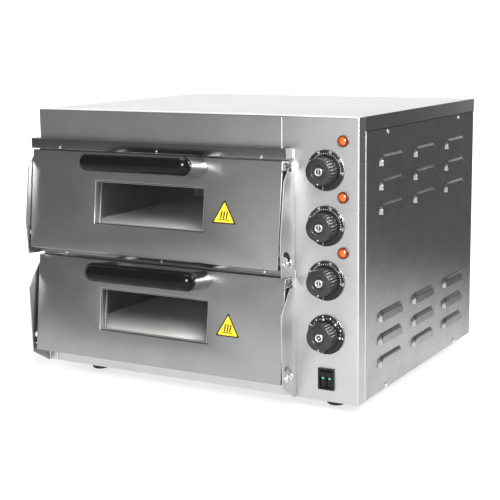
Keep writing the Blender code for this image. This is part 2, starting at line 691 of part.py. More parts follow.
def mains_switch():
    housing = add("switch_housing",
                  boxes((at(SWITCH_X - 0.0127, -0.0028, SWITCH_Z - 0.0159),
                         at(SWITCH_X + 0.0127, -GAP, SWITCH_Z + 0.0159))), BLACK)
    join(housing, boxes((at(SWITCH_X - 0.0110, -0.0010, SWITCH_Z - 0.0140),
                         at(SWITCH_X + 0.0110, 0.0240, SWITCH_Z + 0.0140))))
    for sign in (-1, 1):
        middle = SWITCH_X + sign * ROCKER_OFFSET
        cut(housing, boxes((at(middle - 0.0048, -0.01, SWITCH_Z - 0.0132),
                            at(middle + 0.0048, 0.0130, SWITCH_Z + 0.0132))))


def rockers():
    outline = [(-0.0056, 0.0118), (-0.0036, 0.0), (-0.0056, -0.0118), (0.0010, -0.0122),
               (0.0065, -0.0050), (0.0065, 0.0050), (0.0010, 0.0122)]
    for side, sign in (("left", -1), ("right", 1)):
        middle = at(SWITCH_X + sign * ROCKER_OFFSET, ROCKER_AXIS_Y, SWITCH_Z)
        pivot = bpy.data.objects.new(side + "_rocker_axis", None)
        bpy.context.scene.collection.objects.link(pivot)
        pivot.location = middle
        pivot.rotation_euler = (ROCKER_TILT, 0, 0)
        add(side + "_switch_rocker", prism(outline, -0.0045, 0.0045), BLACK, pivot)


def wiring():
    block = add("mains_terminal_block",
                boxes((at(0.492, 0.395, 0.0018), at(0.538, 0.421, 0.020))), CREAM)
    grooves = boxes()
    for i in range(2):
        x = 0.492 + 0.046 * (i + 1) / 3
        add_box(grooves, at(x - 0.0015, 0.380, 0.012), at(x + 0.0015, 0.440, 0.030))
    cut(block, grooves)
    profile = [(0.0042, -0.012), (0.0070, -0.012), (0.0070, 0.0008), (0.0105, 0.0008), (0.0105, 0.0050),
               (0.0080, 0.0080), (0.0070, GLAND_OUT), (0.0042, GLAND_OUT)]
    gland = ring_turned(profile, 20)
    bmesh.ops.rotate(gland, verts=gland.verts, cent=(0, 0, 0), matrix=Matrix.Rotation(-math.pi / 2, 3, "X"))
    add("cable_gland", moved(gland, at(GLAND_X, DEPTH, GLAND_Z)), BLACK, smooth=True)


# ---- the oven ---------------------------------------------------------------------------------------
def main():
    for obj in list(bpy.data.objects):
        bpy.data.objects.remove(obj, do_unlink=True)
    base_pan()
    back_panel()
    side_panels()
    lid()
    top_fascia()
    front_frames()
    control_panel()
    rails()
    hinge_plates()
    feet()
    chambers()
    stones()
    heating_elements()
    insulation()
    doors()
    dials()
    lamps()
    mains_switch()
    rockers()
    wiring()


main()
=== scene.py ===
"""Looks of a countertop pizza oven with two decks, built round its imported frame.

Metres, +Z up.  Places are given in the cabinet's own frame, whose zero is the cabinet's left front
bottom edge; at() turns them into the frame's coordinates.  The front faces -Y.
"""
import json
import math

import bmesh
import bpy
from mathutils import Matrix, Vector

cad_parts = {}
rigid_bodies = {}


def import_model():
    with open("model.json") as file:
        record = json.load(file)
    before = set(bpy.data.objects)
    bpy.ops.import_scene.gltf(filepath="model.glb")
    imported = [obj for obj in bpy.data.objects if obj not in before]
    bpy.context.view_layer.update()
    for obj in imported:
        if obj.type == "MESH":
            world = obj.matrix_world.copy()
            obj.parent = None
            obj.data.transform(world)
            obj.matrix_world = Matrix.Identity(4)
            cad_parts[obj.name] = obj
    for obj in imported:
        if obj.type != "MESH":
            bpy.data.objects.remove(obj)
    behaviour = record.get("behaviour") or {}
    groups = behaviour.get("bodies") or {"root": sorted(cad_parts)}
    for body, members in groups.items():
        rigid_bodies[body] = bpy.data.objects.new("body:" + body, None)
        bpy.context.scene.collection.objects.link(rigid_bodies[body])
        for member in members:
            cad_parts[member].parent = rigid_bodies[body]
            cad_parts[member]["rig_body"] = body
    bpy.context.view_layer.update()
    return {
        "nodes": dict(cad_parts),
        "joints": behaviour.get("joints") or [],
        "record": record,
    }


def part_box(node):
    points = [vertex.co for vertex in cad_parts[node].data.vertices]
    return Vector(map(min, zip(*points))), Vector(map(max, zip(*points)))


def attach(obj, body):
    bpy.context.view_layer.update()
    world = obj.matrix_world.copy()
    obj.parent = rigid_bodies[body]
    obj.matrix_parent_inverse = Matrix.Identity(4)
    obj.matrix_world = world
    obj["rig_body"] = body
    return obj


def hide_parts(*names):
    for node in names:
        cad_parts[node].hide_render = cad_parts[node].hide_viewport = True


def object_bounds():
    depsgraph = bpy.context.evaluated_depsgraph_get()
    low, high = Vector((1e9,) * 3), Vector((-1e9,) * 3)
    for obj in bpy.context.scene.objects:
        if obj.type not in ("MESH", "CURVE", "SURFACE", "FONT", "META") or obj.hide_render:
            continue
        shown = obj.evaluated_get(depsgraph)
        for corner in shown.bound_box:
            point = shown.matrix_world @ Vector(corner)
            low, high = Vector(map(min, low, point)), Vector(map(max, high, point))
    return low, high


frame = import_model()

# ---- driving dimensions, read from the frame where it holds them -------------------------------------
WIDTH = 0.560
DEPTH = 0.472
PANEL_LOW, PANEL_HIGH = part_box("control_panel")
HEIGHT = PANEL_HIGH.z - PANEL_LOW.z
CORNER = Vector((PANEL_HIGH.x - WIDTH, PANEL_LOW.y, PANEL_LOW.z))   # left front bottom edge
SHEET = 0.001
SIDE_SHEET = 0.0008
GAP = 0.0003
RETURN = 0.0225               # how far the front pieces wrap round the sides and the top
BAY_LEFT = 0.4595             # where the decks end and the control column starts
FASCIA_RIGHT = 0.440
FASCIA_BOTTOM = 0.365
SKIRT = 0.021
PANEL_FOLD = 0.0022           # radius of the front sheets' folds
SEAM_RADIUS = 0.0010          # bead beside the fascia's right edge
BEAD_RADIUS = 0.0009          # beads beside the side panels
SHADOW_GAP_HEIGHT = 0.0011         # height of the dark strip under the lid's skirt: a painted shadow of the gap there
FLANGE_LEFT, FLANGE_RIGHT = 0.0016, 0.0168
FLANGE_FOOT, FLANGE_TOP = 0.0004, 0.020
RAIL_SCREWS = (0.058, 0.239, 0.418)
DECKS = {"upper": 0.170, "lower": 0.0015}
LEAN = math.radians(7.0)      # a closed door leans back

DOOR_LEFT, DOOR_RIGHT = 0.0028, 0.4519
DOOR_SLIDE = {"upper": 0.0, "lower": 0.0028}     # each door's sideways play in its bay
DOOR_FACE, DOOR_BACK = -0.0071, 0.0095
DOOR_LOW, DOOR_TOP = -0.0088, 0.1469
WINDOW_CENTRE, WINDOW_HALF = 0.2264, 0.0985
WINDOW_LOW, WINDOW_TOP = 0.0375, 0.1030
GLASS_FRONT = 0.0024
HANDLE_CENTRE, HANDLE_HALF = 0.2312, 0.083
HANDLE_RISE, HANDLE_STANDOFF = 0.1325, 0.048
HANDLE_RADIUS, LEG_RADIUS = 0.0145, 0.0135
SLOT_RADIUS = 0.0147          # guide stud's circle round the hinge axis
STICKER_X, STICKER_HALF = 0.3598, 0.0206
STICKER_LOW, STICKER_TOP = 0.0520, 0.0876

DIAL_X = 0.509
DIAL_Z = {"upper_top_thermostat": 0.337, "upper_bottom_thermostat": 0.258,
          "lower_thermostat": 0.179, "timer": 0.100}
DIAL_THICK = 0.002
THERMOSTAT_LABELS = {"70": -64.0, "140": -23.8, "210": 16.4, "280": 56.6, "350": 96.8}
SCALE_START, SCALE_STEP, SCALE_DOTS = -64.0, 8.04, 20      # degrees, clockwise from the top
TIMER_MARKS = (-63.5, -10.0, 43.5, 97.0)
OFF_MARK = -171.0
LAMP_X = 0.5363
LAMP_Z = {"upper_top": 0.379, "upper_bottom": 0.300, "lower": 0.221}
SWITCH_X, SWITCH_Z = 0.5091, 0.0335

LOUVRE_LENGTH, LOUVRE_HEIGHT, LOUVRE_OUT = 0.086, 0.016, 0.005
LOUVRE_COLUMNS = (0.1145, 0.2455, 0.3785)
LOUVRE_ROWS = (0.038, 0.0725, 0.1075, 0.267, 0.3025, 0.3377)
LOUVRE_CORNER = 0.011         # radius of a louvre's upper corners
LOUVRE_EASE = 0.0040          # how soon a louvre rises from the sheet
LOUVRE_CELLS = (43, 14)
SIDE_TOP = 0.405
SIDE_NOTCHES = (0.100, 0.392)
SIDE_SCREWS = (0.103, 0.397)


def at(x, y, z):
    """A place in the cabinet's frame, in the frame's coordinates."""
    return Vector((x, y, z)) + CORNER


# ---- materials ---------------------------------------------------------------------------------------
def link(tree, source, target):
    tree.links.new(source, target)


def even(value):
    """The same number three times: a grey, or a scale along X, Y and Z."""
    return value, value, value


def object_noise(tree, scale, detail=3.0, roughness=0.55):
    """A noise over the object's own coordinates; scale is waves per metre along X, Y and Z."""
    coords = tree.nodes.new("ShaderNodeTexCoord")
    mapping = tree.nodes.new("ShaderNodeMapping")
    mapping.inputs["Scale"].default_value = scale
    noise = tree.nodes.new("ShaderNodeTexNoise")
    noise.inputs["Scale"].default_value = 1.0
    noise.inputs["Detail"].default_value = detail
    noise.inputs["Roughness"].default_value = roughness
    link(tree, coords.outputs["Object"], mapping.inputs["Vector"])
    link(tree, mapping.outputs["Vector"], noise.inputs["Vector"])
    return noise.outputs["Fac"]


def ranged(tree, value, low, high, from_low=0.3, from_high=0.7, curve="LINEAR"):
    """Spreads a noise's middle, or another range, over a range of numbers."""
    spread = tree.nodes.new("ShaderNodeMapRange")
    spread.interpolation_type = curve
    spread.inputs["From Min"].default_value = from_low
    spread.inputs["From Max"].default_value = from_high
    spread.inputs["To Min"].default_value = low
    spread.inputs["To Max"].default_value = high
    link(tree, value, spread.inputs["Value"])
    return spread.outputs["Result"]


def blended(tree, value, first, second):
    """A colour between two colours."""
    mix = tree.nodes.new("ShaderNodeMix")
    mix.data_type = "RGBA"
    link(tree, value, mix.inputs["Factor"])
    mix.inputs["A"].default_value = (*first, 1.0)
    mix.inputs["B"].default_value = (*second, 1.0)
    return mix.outputs["Result"]


def toned(tree, shader, noise, first, second):
    """Lets a noise move the base colour between two colours."""
    link(tree, blended(tree, ranged(tree, noise, 0.0, 1.0), first, second), shader.inputs["Base Color"])


def roughened(tree, shader, noise, low, high):
    """Lets a noise move the roughness between two numbers."""
    link(tree, ranged(tree, noise, low, high), shader.inputs["Roughness"])


def bumped(tree, shader, *layers):
    """Gives a shader stacked bump layers of (height socket, depth in metres)."""
    normal = None
    for height, depth in layers:
        bump = tree.nodes.new("ShaderNodeBump")
        bump.inputs["Strength"].default_value = 1.0
        bump.inputs["Distance"].default_value = depth
        link(tree, height, bump.inputs["Height"])
        if normal is not None:
            link(tree, normal, bump.inputs["Normal"])
        normal = bump.outputs["Normal"]
    link(tree, normal, shader.inputs["Normal"])


def operation(tree, kind, name, value):
    """A maths node with its first input linked."""
    node = tree.nodes.new(kind)
    node.operation = name
    link(tree, value, node.inputs[0])
    return node


def mixed_surface(tree, share, first, second):
    """Makes the surface a mix of two shaders; share is how much of the second."""
    mix = tree.nodes.new("ShaderNodeMixShader")
    link(tree, share, mix.inputs["Fac"])
    link(tree, first.outputs["BSDF"], mix.inputs[1])
    link(tree, second.outputs["BSDF"], mix.inputs[2])
    link(tree, mix.outputs["Shader"], tree.nodes["Material Output"].inputs["Surface"])


def principled(name, metallic=0.0):
    """A new material, its node tree and its main shader."""
    mat = bpy.data.materials.new(name)
    mat.use_nodes = True
    shader = mat.node_tree.nodes["Principled BSDF"]
    shader.inputs["Metallic"].default_value = metallic
    return mat, mat.node_tree, shader


def steel(name, colour, roughness, grain, waves=0.00012, cloud=0.05, line_depth=0.4e-6):
    """Brushed sheet: fine lines along one axis, cloudy tone, and a slight waviness of the sheet."""
    mat, tree, shader = principled(name, 1.0)
    fine = tuple(30.0 if axis == grain else 2600.0 for axis in "xyz")
    lines = object_noise(tree, fine, 2.0)
    clouds = object_noise(tree, even(22.0), 4.0)
    dents = object_noise(tree, even(9.0), 1.0)
    darker = tuple(c * (1.0 - cloud) for c in colour)
    lighter = tuple(min(c * (1.0 + cloud), 1.0) for c in colour)
    toned(tree, shader, clouds, darker, lighter)
    roughened(tree, shader, lines, roughness * 0.96, roughness * 1.05)
    bumped(tree, shader, (dents, waves), (lines, line_depth))
    return mat


def plastic(name, colour, roughness, grain_depth=0.0, shine=0.5):
    """Moulded plastic: slight tone changes and a fine moulded grain."""
    mat, tree, shader = principled(name)
    shader.inputs["Specular IOR Level"].default_value = shine
    clouds = object_noise(tree, even(60.0), 3.0)
    fine = object_noise(tree, even(2400.0), 2.0)
    toned(tree, shader, clouds, tuple(c * 0.85 for c in colour), colour)
    roughened(tree, shader, clouds, roughness * 0.85, roughness * 1.15)
    if grain_depth:
        bumped(tree, shader, (fine, grain_depth))
    return mat


def stone_material():
    """Cordierite: pale, speckled, slightly pitted, with darker baked patches."""
    mat, tree, shader = principled("cordierite")
    speckle = object_noise(tree, even(900.0), 2.0)
    patches = object_noise(tree, even(14.0), 3.0)
    pale = blended(tree, ranged(tree, speckle, 0.0, 1.0), (0.80, 0.79, 0.77), (0.92, 0.915, 0.90))
    mix = tree.nodes.new("ShaderNodeMix")
    mix.data_type = "RGBA"
    mix.blend_type = "MULTIPLY"
    mix.inputs["B"].default_value = (0.93, 0.92, 0.90, 1.0)
    link(tree, ranged(tree, patches, 0.0, 1.0), mix.inputs["Factor"])
    link(tree, pale, mix.inputs["A"])
    link(tree, mix.outputs["Result"], shader.inputs["Base Color"])
    shader.inputs["Roughness"].default_value = 0.85
    bumped(tree, shader, (speckle, 0.0002))
    return mat


def wool_material():
    """Ceramic wool: pale fibres along X."""
    mat, tree, shader = principled("ceramic_wool")
    fibres = object_noise(tree, (90.0, 700.0, 700.0), 4.0)
    toned(tree, shader, fibres, (0.70, 0.68, 0.62), (0.90, 0.89, 0.85))
    shader.inputs["Roughness"].default_value = 0.95
    bumped(tree, shader, (fibres, 0.0008))
    return mat


def element_material():
    """Heating tube: steel with brown and blue heat tints."""
    mat, tree, shader = principled("heat_tinted_tube", 0.8)
    tint = object_noise(tree, even(25.0), 3.0)
    toned(tree, shader, tint, (0.16, 0.12, 0.10), (0.20, 0.20, 0.24))
    roughened(tree, shader, tint, 0.4, 0.6)
    return mat


def glass_material():
    """Clear pane: lets light through to the chamber and mirrors it by its angle."""
    mat, tree, shader = principled("door_pane")
    smudges = object_noise(tree, even(40.0), 3.0)
    shader.inputs["Base Color"].default_value = (0.02, 0.022, 0.022, 1.0)
    roughened(tree, shader, smudges, 0.02, 0.06)
    clear = tree.nodes.new("ShaderNodeBsdfTransparent")
    clear.inputs["Color"].default_value = (0.985, 0.985, 0.985, 1.0)
    facing = tree.nodes.new("ShaderNodeLayerWeight")
    facing.inputs["Blend"].default_value = 0.12
    mixed_surface(tree, ranged(tree, facing.outputs["Fresnel"], 0.08, 0.9, 0.0, 1.0), clear, shader)
    return mat


def lamp_material(name, middle, edge, glow):
    """Amber lens: clear coat over a faintly glowing body; darker where it turns away, a painted shade at its
    rim.
    """
    mat, tree, shader = principled(name)
    facing = tree.nodes.new("ShaderNodeLayerWeight")
    facing.inputs["Blend"].default_value = 0.35
    # the tone darkens where the dome faces away: painted shade at the lens's rim, in its colour and its glow
    tone = blended(tree, facing.outputs["Facing"], middle, edge)
    link(tree, tone, shader.inputs["Base Color"])
    link(tree, tone, shader.inputs["Emission Color"])
    shader.inputs["Emission Strength"].default_value = glow
    ripple = object_noise(tree, even(700.0), 1.0)
    roughened(tree, shader, ripple, 0.12, 0.22)
    shader.inputs["Coat Weight"].default_value = 0.5
    return mat


def print_material(name, colour, glow=0.0):
    """Screen-printed ink, a little uneven."""
    mat, tree, shader = principled(name)
    ink = object_noise(tree, even(800.0), 2.0)
    toned(tree, shader, ink, tuple(c * 0.88 for c in colour), colour)
    roughened(tree, shader, ink, 0.4, 0.55)
    shader.inputs["Emission Color"].default_value = (*colour, 1.0)
    shader.inputs["Emission Strength"].default_value = glow
    return mat


STEEL_X = steel("brushed_steel_across", even(0.56), 0.30, "x")
STEEL_PANEL = steel("panel_steel", even(0.50), 0.36, "x")
STEEL_SIDE = steel("side_steel", even(0.39), 0.28, "y", cloud=0.09, line_depth=0.1e-6)
STEEL_LID = steel("lid_steel", even(0.35), 0.30, "x")
STEEL_DOOR = steel("door_steel", even(0.35), 0.30, "x")
# the rails' steel is darkened: painted shade on the recessed channels above the doors
STEEL_RAIL_SHADED = steel("rail_steel", even(0.19), 0.26, "x")
STEEL_PLATE = steel("plate_steel", even(0.44), 0.52, "z")
# a darker copy of the plate steel for the left hinge plates: painted shade
STEEL_PLATE_LEFT_SHADED = steel("left_plate_steel_painted_shade", even(0.29), 0.36, "z")
# a darkened steel for the handle legs: painted shade that damps their highlights
STEEL_LEG_SHADED = steel("leg_steel_painted_shade", even(0.20), 0.36, "y", waves=0.0)
STEEL_FRAME = steel("frame_steel", even(0.58), 0.40, "x")
STEEL_DULL = steel("aluminised_steel", (0.60, 0.60, 0.59), 0.46, "x", cloud=0.14)
CHROME = steel("chrome", even(0.86), 0.06, "x", waves=0.0, cloud=0.02)
SHAFT_BRIGHT = steel("shaft_bright", even(0.90), 0.30, "x", waves=0.0, cloud=0.02)
SCREW_DARK = steel("dark_screw", even(0.10), 0.30, "x", waves=0.0)
# near-black steel: painted shade, for the gaps under the lid's skirt and for the door's guide ears
SHADE_PAINTED_STEEL = steel("painted_shadow_gap", even(0.012), 0.50, "x", waves=0.0)
HANDLE_BLACK = plastic("gloss_black", (0.004, 0.004, 0.0045), 0.17, shine=0.13)
DIAL_BLACK = plastic("dial_black", (0.009, 0.009, 0.0095), 0.42, 0.00004, 0.22)
KNOB_BLACK = plastic("knob_black", (0.014, 0.014, 0.015), 0.30, 0.00004, 0.42)
SWITCH_BLACK = plastic("switch_black", (0.004, 0.005, 0.0045), 0.25, shine=0.25)
RUBBER = plastic("foot_rubber", even(0.020), 0.75, 0.00010)
CREAM = plastic("cream_moulding", (0.74, 0.71, 0.62), 0.5, 0.00005)
STONE = stone_material()
WOOL = wool_material()
TUBE = element_material()
GLASS = glass_material()
# the second colour is the lens's darker rim: painted shade
AMBER = lamp_material("amber_lens", (0.34, 0.058, 0.002), (0.10, 0.012, 0.001), 0.12)
AMBER_RIM = plastic("amber_rim", (0.060, 0.012, 0.002), 0.30, shine=0.2)
WHITE_INK = print_material("white_ink", even(0.42))
YELLOW_INK = print_material("yellow_ink", (0.50, 0.37, 0.010))
BLACK_INK = print_material("black_ink", (0.010, 0.008, 0.003))
STROKE_INK = print_material("stroke_ink", (0.030, 0.022, 0.003))
GREEN_LENS = print_material("green_lens", (0.08, 0.34, 0.25), 0.05)


# ---- building blocks ---------------------------------------------------------------------------------
def linked(name, data):
    """A new object in the scene."""
    obj = bpy.data.objects.new(name, data)
    bpy.context.scene.collection.objects.link(obj)
    return obj


def object_of(name, bm):
    """A new mesh object in the scene; the bmesh is used up."""
    mesh = bpy.data.meshes.new(name)
    bm.to_mesh(mesh)
    bm.free()
    return linked(name, mesh)


def taken_back(obj):
    """An object's mesh as a bmesh; the object is used up."""
    bm = bmesh.new()
    bm.from_mesh(obj.data)
    bpy.data.objects.remove(obj)
    return bm


def piece(name, bm, mat, body, replaced=(), place=None, smooth_angle=30.0):
    """A finished mesh object, riding on a body of the frame."""
    if place is not None:
        bmesh.ops.transform(bm, matrix=place, verts=bm.verts)
    obj = object_of(name, bm)
    obj.data.materials.append(mat)
    obj.data.shade_smooth()
    obj.data.set_sharp_from_angle(angle=math.radians(smooth_angle))
    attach(obj, body)
    if replaced:
        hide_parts(*replaced)
    return obj


def applied(obj):
    """Turns an object's modifiers into mesh."""
    bpy.context.view_layer.update()
    evaluated = obj.evaluated_get(bpy.context.evaluated_depsgraph_get())
    mesh = bpy.data.meshes.new_from_object(evaluated)
    obj.modifiers.clear()
    old = obj.data
    obj.data = mesh
    bpy.data.meshes.remove(old)
    return obj


def thickened(bm, thickness):
    """Gives an open sheet its thickness, behind the side that its normals point to."""
    obj = object_of("sheet", bm)
    solidify = obj.modifiers.new("sheet", "SOLIDIFY")
    solidify.thickness = thickness
    solidify.offset = -1.0
    solidify.use_even_offset = True
    return taken_back(applied(obj))


def sheet_from(polygons, centre):
    """An open sheet from flat polygons that share edges; normals point away from centre."""
    bm = bmesh.new()
    found = {}
    for polygon in polygons:
        verts = []
        for point in polygon:
            key = tuple(round(c, 6) for c in point)
            if key not in found:
                found[key] = bm.verts.new(point)
            verts.append(found[key])
        face = bm.faces.new(verts)
        face.normal_update()
        if face.normal.dot(face.calc_center_median() - Vector(centre)) < 0:
            face.normal_flip()
    return bm


def rounded_folds(bm, radius, clamp):
    """Rounds an open sheet's edges wherever two faces meet at an angle."""
    folds = [e for e in bm.edges if len(e.link_faces) == 2 and e.calc_face_angle(0.0) > 0.2]
    bmesh.ops.bevel(bm, geom=folds, offset=radius, segments=4, profile=0.5, affect="EDGES",
                    clamp_overlap=clamp)
    return bm


def folded(polygons, centre, radius, thickness=SHEET):
    """A sheet in the cabinet's frame, with rounded folds where its polygons meet at an angle."""
    polygons = [[point + CORNER for point in polygon] for polygon in polygons]
    return thickened(rounded_folds(sheet_from(polygons, centre), radius, True), thickness)


def rectangle(axis, place, low, high):
    """A rectangle square to an axis; low and high are its corners on the other two axes."""
    (a0, b0), (a1, b1) = low, high
    corners = ((a0, b0), (a1, b0), (a1, b1), (a0, b1))
    if axis == "x":
        return [Vector((place, a, b)) for a, b in corners]
    if axis == "y":
        return [Vector((a, place, b)) for a, b in corners]
    return [Vector((a, b, place)) for a, b in corners]


def refined(node, mat, width=0.0005, angle=30.0, smooth_angle=30.0):
    """A CAD node's own shape with softened edges and a finished material."""
    source = frame["nodes"][node]
    bm = bmesh.new()
    bm.from_mesh(source.data)
    bmesh.ops.remove_doubles(bm, verts=bm.verts, dist=0.00001)
    bmesh.ops.dissolve_limit(bm, angle_limit=math.radians(0.5), verts=bm.verts, edges=bm.edges)
    obj = object_of("source", bm)
    bevel = obj.modifiers.new("edges", "BEVEL")
    bevel.width = width
    bevel.segments = 2
    bevel.limit_method = "ANGLE"
    bevel.angle_limit = math.radians(angle)
    return piece(node + "_finished", taken_back(applied(obj)), mat, source["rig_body"], (node,),
                 smooth_angle=smooth_angle)


def facing_front(x, y, z):
    """Turns +Z to the oven's front, at a place in the cabinet's frame."""
    return Matrix.Translation(at(x, y, z)) @ FACING_FRONT


def turned(profile, segments, flutes=0, depth=0.0, fluted=()):
    """A body turned about Z from (radius, height) pairs; the named rings can be fluted."""
    bm = bmesh.new()
    rings = []
    for index, (radius, height) in enumerate(profile):
        if radius == 0:
            rings.append([bm.verts.new((0, 0, height))] * segments)
            continue
        ring = []
        for i in range(segments):
            a = 2 * math.pi * i / segments
            r = radius
            if index in fluted:
                r -= depth * (0.5 + 0.5 * math.cos(flutes * a))
            ring.append(bm.verts.new((r * math.cos(a), r * math.sin(a), height)))
        rings.append(ring)
    for first, second in zip(rings, rings[1:]):
        for i in range(segments):
            j = (i + 1) % segments
            bm.faces.new(dict.fromkeys((first[i], first[j], second[j], second[i])))
    bmesh.ops.recalc_face_normals(bm, faces=bm.faces)
    return bm


FACING_FRONT = Matrix.Rotation(math.pi / 2, 4, "X")      # turns +Z to the oven's front
FACING_RIGHT = Matrix.Rotation(math.pi / 2, 4, "Y")
FACING_LEFT = Matrix.Rotation(-math.pi / 2, 4, "Y")
# stands a flat XY outline up in YZ
UPRIGHT = Matrix(((0, 0, 1, 0), (1, 0, 0, 0), (0, 1, 0, 0), (0, 0, 0, 1)))


def merged(parts):
    """Several bmeshes as one."""
    result = bmesh.new()
    for bm in parts:
        mesh = bpy.data.meshes.new("part")
        bm.to_mesh(mesh)
        bm.free()
        result.from_mesh(mesh)
        bpy.data.meshes.remove(mesh)
    return result


def placed(bm, matrix):
    bmesh.ops.transform(bm, matrix=matrix, verts=bm.verts)
    return bm


def plate_from(outline, thickness):
    """A flat outline of (x, y) points as a plate, from z 0 to its thickness."""
    bm = bmesh.new()
    face = bm.faces.new([bm.verts.new((x, y, 0)) for x, y in outline])
    grown = bmesh.ops.extrude_face_region(bm, geom=[face])
    moved = [v for v in grown["geom"] if isinstance(v, bmesh.types.BMVert)]
    bmesh.ops.translate(bm, verts=moved, vec=(0, 0, thickness))
    bmesh.ops.recalc_face_normals(bm, faces=bm.faces)
    return bm


def box_outline(half_width, half_height):
    return ((-half_width, -half_height), (half_width, -half_height), (half_width, half_height),
            (-half_width, half_height))


def screw_head(radius, height):
    """A pan head with a raised cross, about +Z."""
    bm = turned([(radius, 0.0), (radius, height * 0.35), (radius * 0.86, height * 0.75),
                 (radius * 0.5, height * 0.97), (0, height)], 28)
    arm, half = radius * 0.55, radius * 0.13
    for sides in ((arm, half), (half, arm)):
        bar = placed(plate_from(box_outline(*sides), 0.00012), Matrix.Translation((0, 0, height * 0.96)))
        bm = merged((bm, bar))
    return bm


def around(points):
    """Each point of a closed outline with the next one."""
    return zip(points, points[1:] + points[:1])


# ---- cabinet sheets ----------------------------------------------------------------------------------
def control_panel():
    """The right front sheet, with a tongue up to the fascia and the switch's hole."""
    left = BAY_LEFT + GAP
    tongue = FASCIA_RIGHT + GAP
    front = ((left, 0), (WIDTH, 0), (WIDTH, HEIGHT), (tongue, HEIGHT), (tongue, FASCIA_BOTTOM),
             (left, FASCIA_BOTTOM))
    polygons = [[Vector((x, 0, z)) for x, z in front],
                rectangle("z", HEIGHT, (tongue, 0), (WIDTH, RETURN)),
                rectangle("x", WIDTH, (0, 0), (RETURN, HEIGHT))]
    bm = folded(polygons, at(0.5, DEPTH / 2, HEIGHT / 2), PANEL_FOLD)
    obj = piece("control_panel_sheet", bm, STEEL_PANEL, "cabinet", ("control_panel",))
    hole = bmesh.new()
    size = Matrix.Diagonal((0.0228, 0.02, 0.0288, 1.0))
    bmesh.ops.create_cube(hole, size=1.0, matrix=Matrix.Translation(at(SWITCH_X, 0, SWITCH_Z)) @ size)
    cut_out(obj, hole)


def cut_out(obj, bm):
    """Cuts a body away from a piece."""
    cutter = object_of("cutter", bm)
    boolean = obj.modifiers.new("cut", "BOOLEAN")
    boolean.operation = "DIFFERENCE"
    boolean.solver = "EXACT"
    boolean.object = cutter
    applied(obj)
    bpy.data.objects.remove(cutter)


def bead(radius, low, high, sides=20):
    """An upright round edge."""
    return turned([(0, low), (radius, low), (radius, high), (0, high)], sides)


def base_flange():
    """A narrow folded flange at the foot of the left bay's corner, with its two edges drawn as chrome beads:
    a painted highlight.
    """
    thickness = 0.0006
    sheet = plate_from(((FLANGE_LEFT, FLANGE_FOOT), (FLANGE_RIGHT, FLANGE_FOOT),
                        (FLANGE_RIGHT, FLANGE_TOP), (FLANGE_LEFT, FLANGE_TOP)), thickness)
    stand = Matrix.Translation(CORNER) @ FACING_FRONT
    piece("base_flange", sheet, STEEL_FRAME, "cabinet", place=stand)
    # chrome beads on the flange's two edges: a painted highlight along them
    edges = [placed(bead(thickness, FLANGE_FOOT, FLANGE_TOP, 16), Matrix.Translation(at(x, -thickness, 0)))
             for x in (FLANGE_LEFT, FLANGE_RIGHT)]
    piece("base_flange_glint_edges", merged(edges), CHROME, "cabinet")


def top_fascia():
    polygons = [rectangle("y", 0, (0, FASCIA_BOTTOM), (FASCIA_RIGHT, HEIGHT)),
                rectangle("z", HEIGHT, (0, 0), (FASCIA_RIGHT, RETURN)),
                rectangle("x", 0, (0, FASCIA_BOTTOM), (RETURN, HEIGHT))]
    bm = folded(polygons, at(WIDTH / 2, DEPTH / 2, HEIGHT - 0.02), PANEL_FOLD)
    piece("top_fascia_sheet", bm, STEEL_X, "cabinet", ("top_fascia",))
    seam = bead(SEAM_RADIUS, FASCIA_BOTTOM, HEIGHT - PANEL_FOLD)
    piece("fascia_seam", placed(seam, Matrix.Translation(at(FASCIA_RIGHT - SEAM_RADIUS, 0.0002, 0))),
          STEEL_FRAME, "cabinet")


def lid():
    fold, thickness = 0.0014, 0.0008
    low = HEIGHT - SKIRT
    front, back = RETURN + GAP, DEPTH
    polygons = [rectangle("z", HEIGHT, (0, front), (WIDTH, back)),
                rectangle("x", 0, (front, low), (back, HEIGHT)),
                rectangle("x", WIDTH, (front, low), (back, HEIGHT)),
                rectangle("y", back, (0, low), (WIDTH, HEIGHT))]
    bm = folded(polygons, at(WIDTH / 2, DEPTH / 2, low - 0.2), fold, thickness)
    piece("lid_sheet", bm, STEEL_LID, "cabinet", ("lid",))


def rails():
    """An open channel above each door, with its screws and a closed right end."""
    for name in DECKS:
        low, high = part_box(name + "_rail")
        low, high = low - CORNER, high - CORNER
        polygons = [rectangle("y", low.y, (low.x, low.z), (high.x, high.z)),
                    rectangle("z", high.z, (low.x, low.y), (high.x, high.y)),
                    rectangle("z", low.z, (low.x, low.y), (high.x, high.y))]
        bm = folded(polygons, (low + high) / 2 + CORNER, 0.0010)
        # the rail sheet takes the darkened steel: painted shade
        piece(name + "_rail_sheet", bm, STEEL_RAIL_SHADED, "cabinet", (name + "_rail",))
        heads = [placed(screw_head(0.0022, 0.0011), facing_front(x, low.y, low.z + 0.0026))
                 for x in RAIL_SCREWS]
        piece(name + "_rail_screws", merged(heads), CHROME, "cabinet")
        end = ((low.y, low.z), (high.y, low.z), (high.y, high.z), (low.y, high.z))
        cap = placed(plate_from(end, SHEET), Matrix.Translation(at(high.x - SHEET, 0, 0)) @ UPRIGHT)
        piece(name + "_rail_end", cap, STEEL_LID, "cabinet")


# ---- side panels -------------------------------------------------------------------------------------
def louvre_rise(u, v):
    """How far a louvre stands out at u along its length and v above its open lower edge."""
    end = min(u, LOUVRE_LENGTH - u)
    top = LOUVRE_HEIGHT - v
    inside = min(end, top)
    if end < LOUVRE_CORNER and top < LOUVRE_CORNER:
        inside = LOUVRE_CORNER - math.hypot(LOUVRE_CORNER - end, LOUVRE_CORNER - top)
    t = min(max(inside / LOUVRE_EASE, 0.0), 1.0)
    return LOUVRE_OUT * t * t * (3 - 2 * t) * (1.0 - 0.30 * v / LOUVRE_HEIGHT)


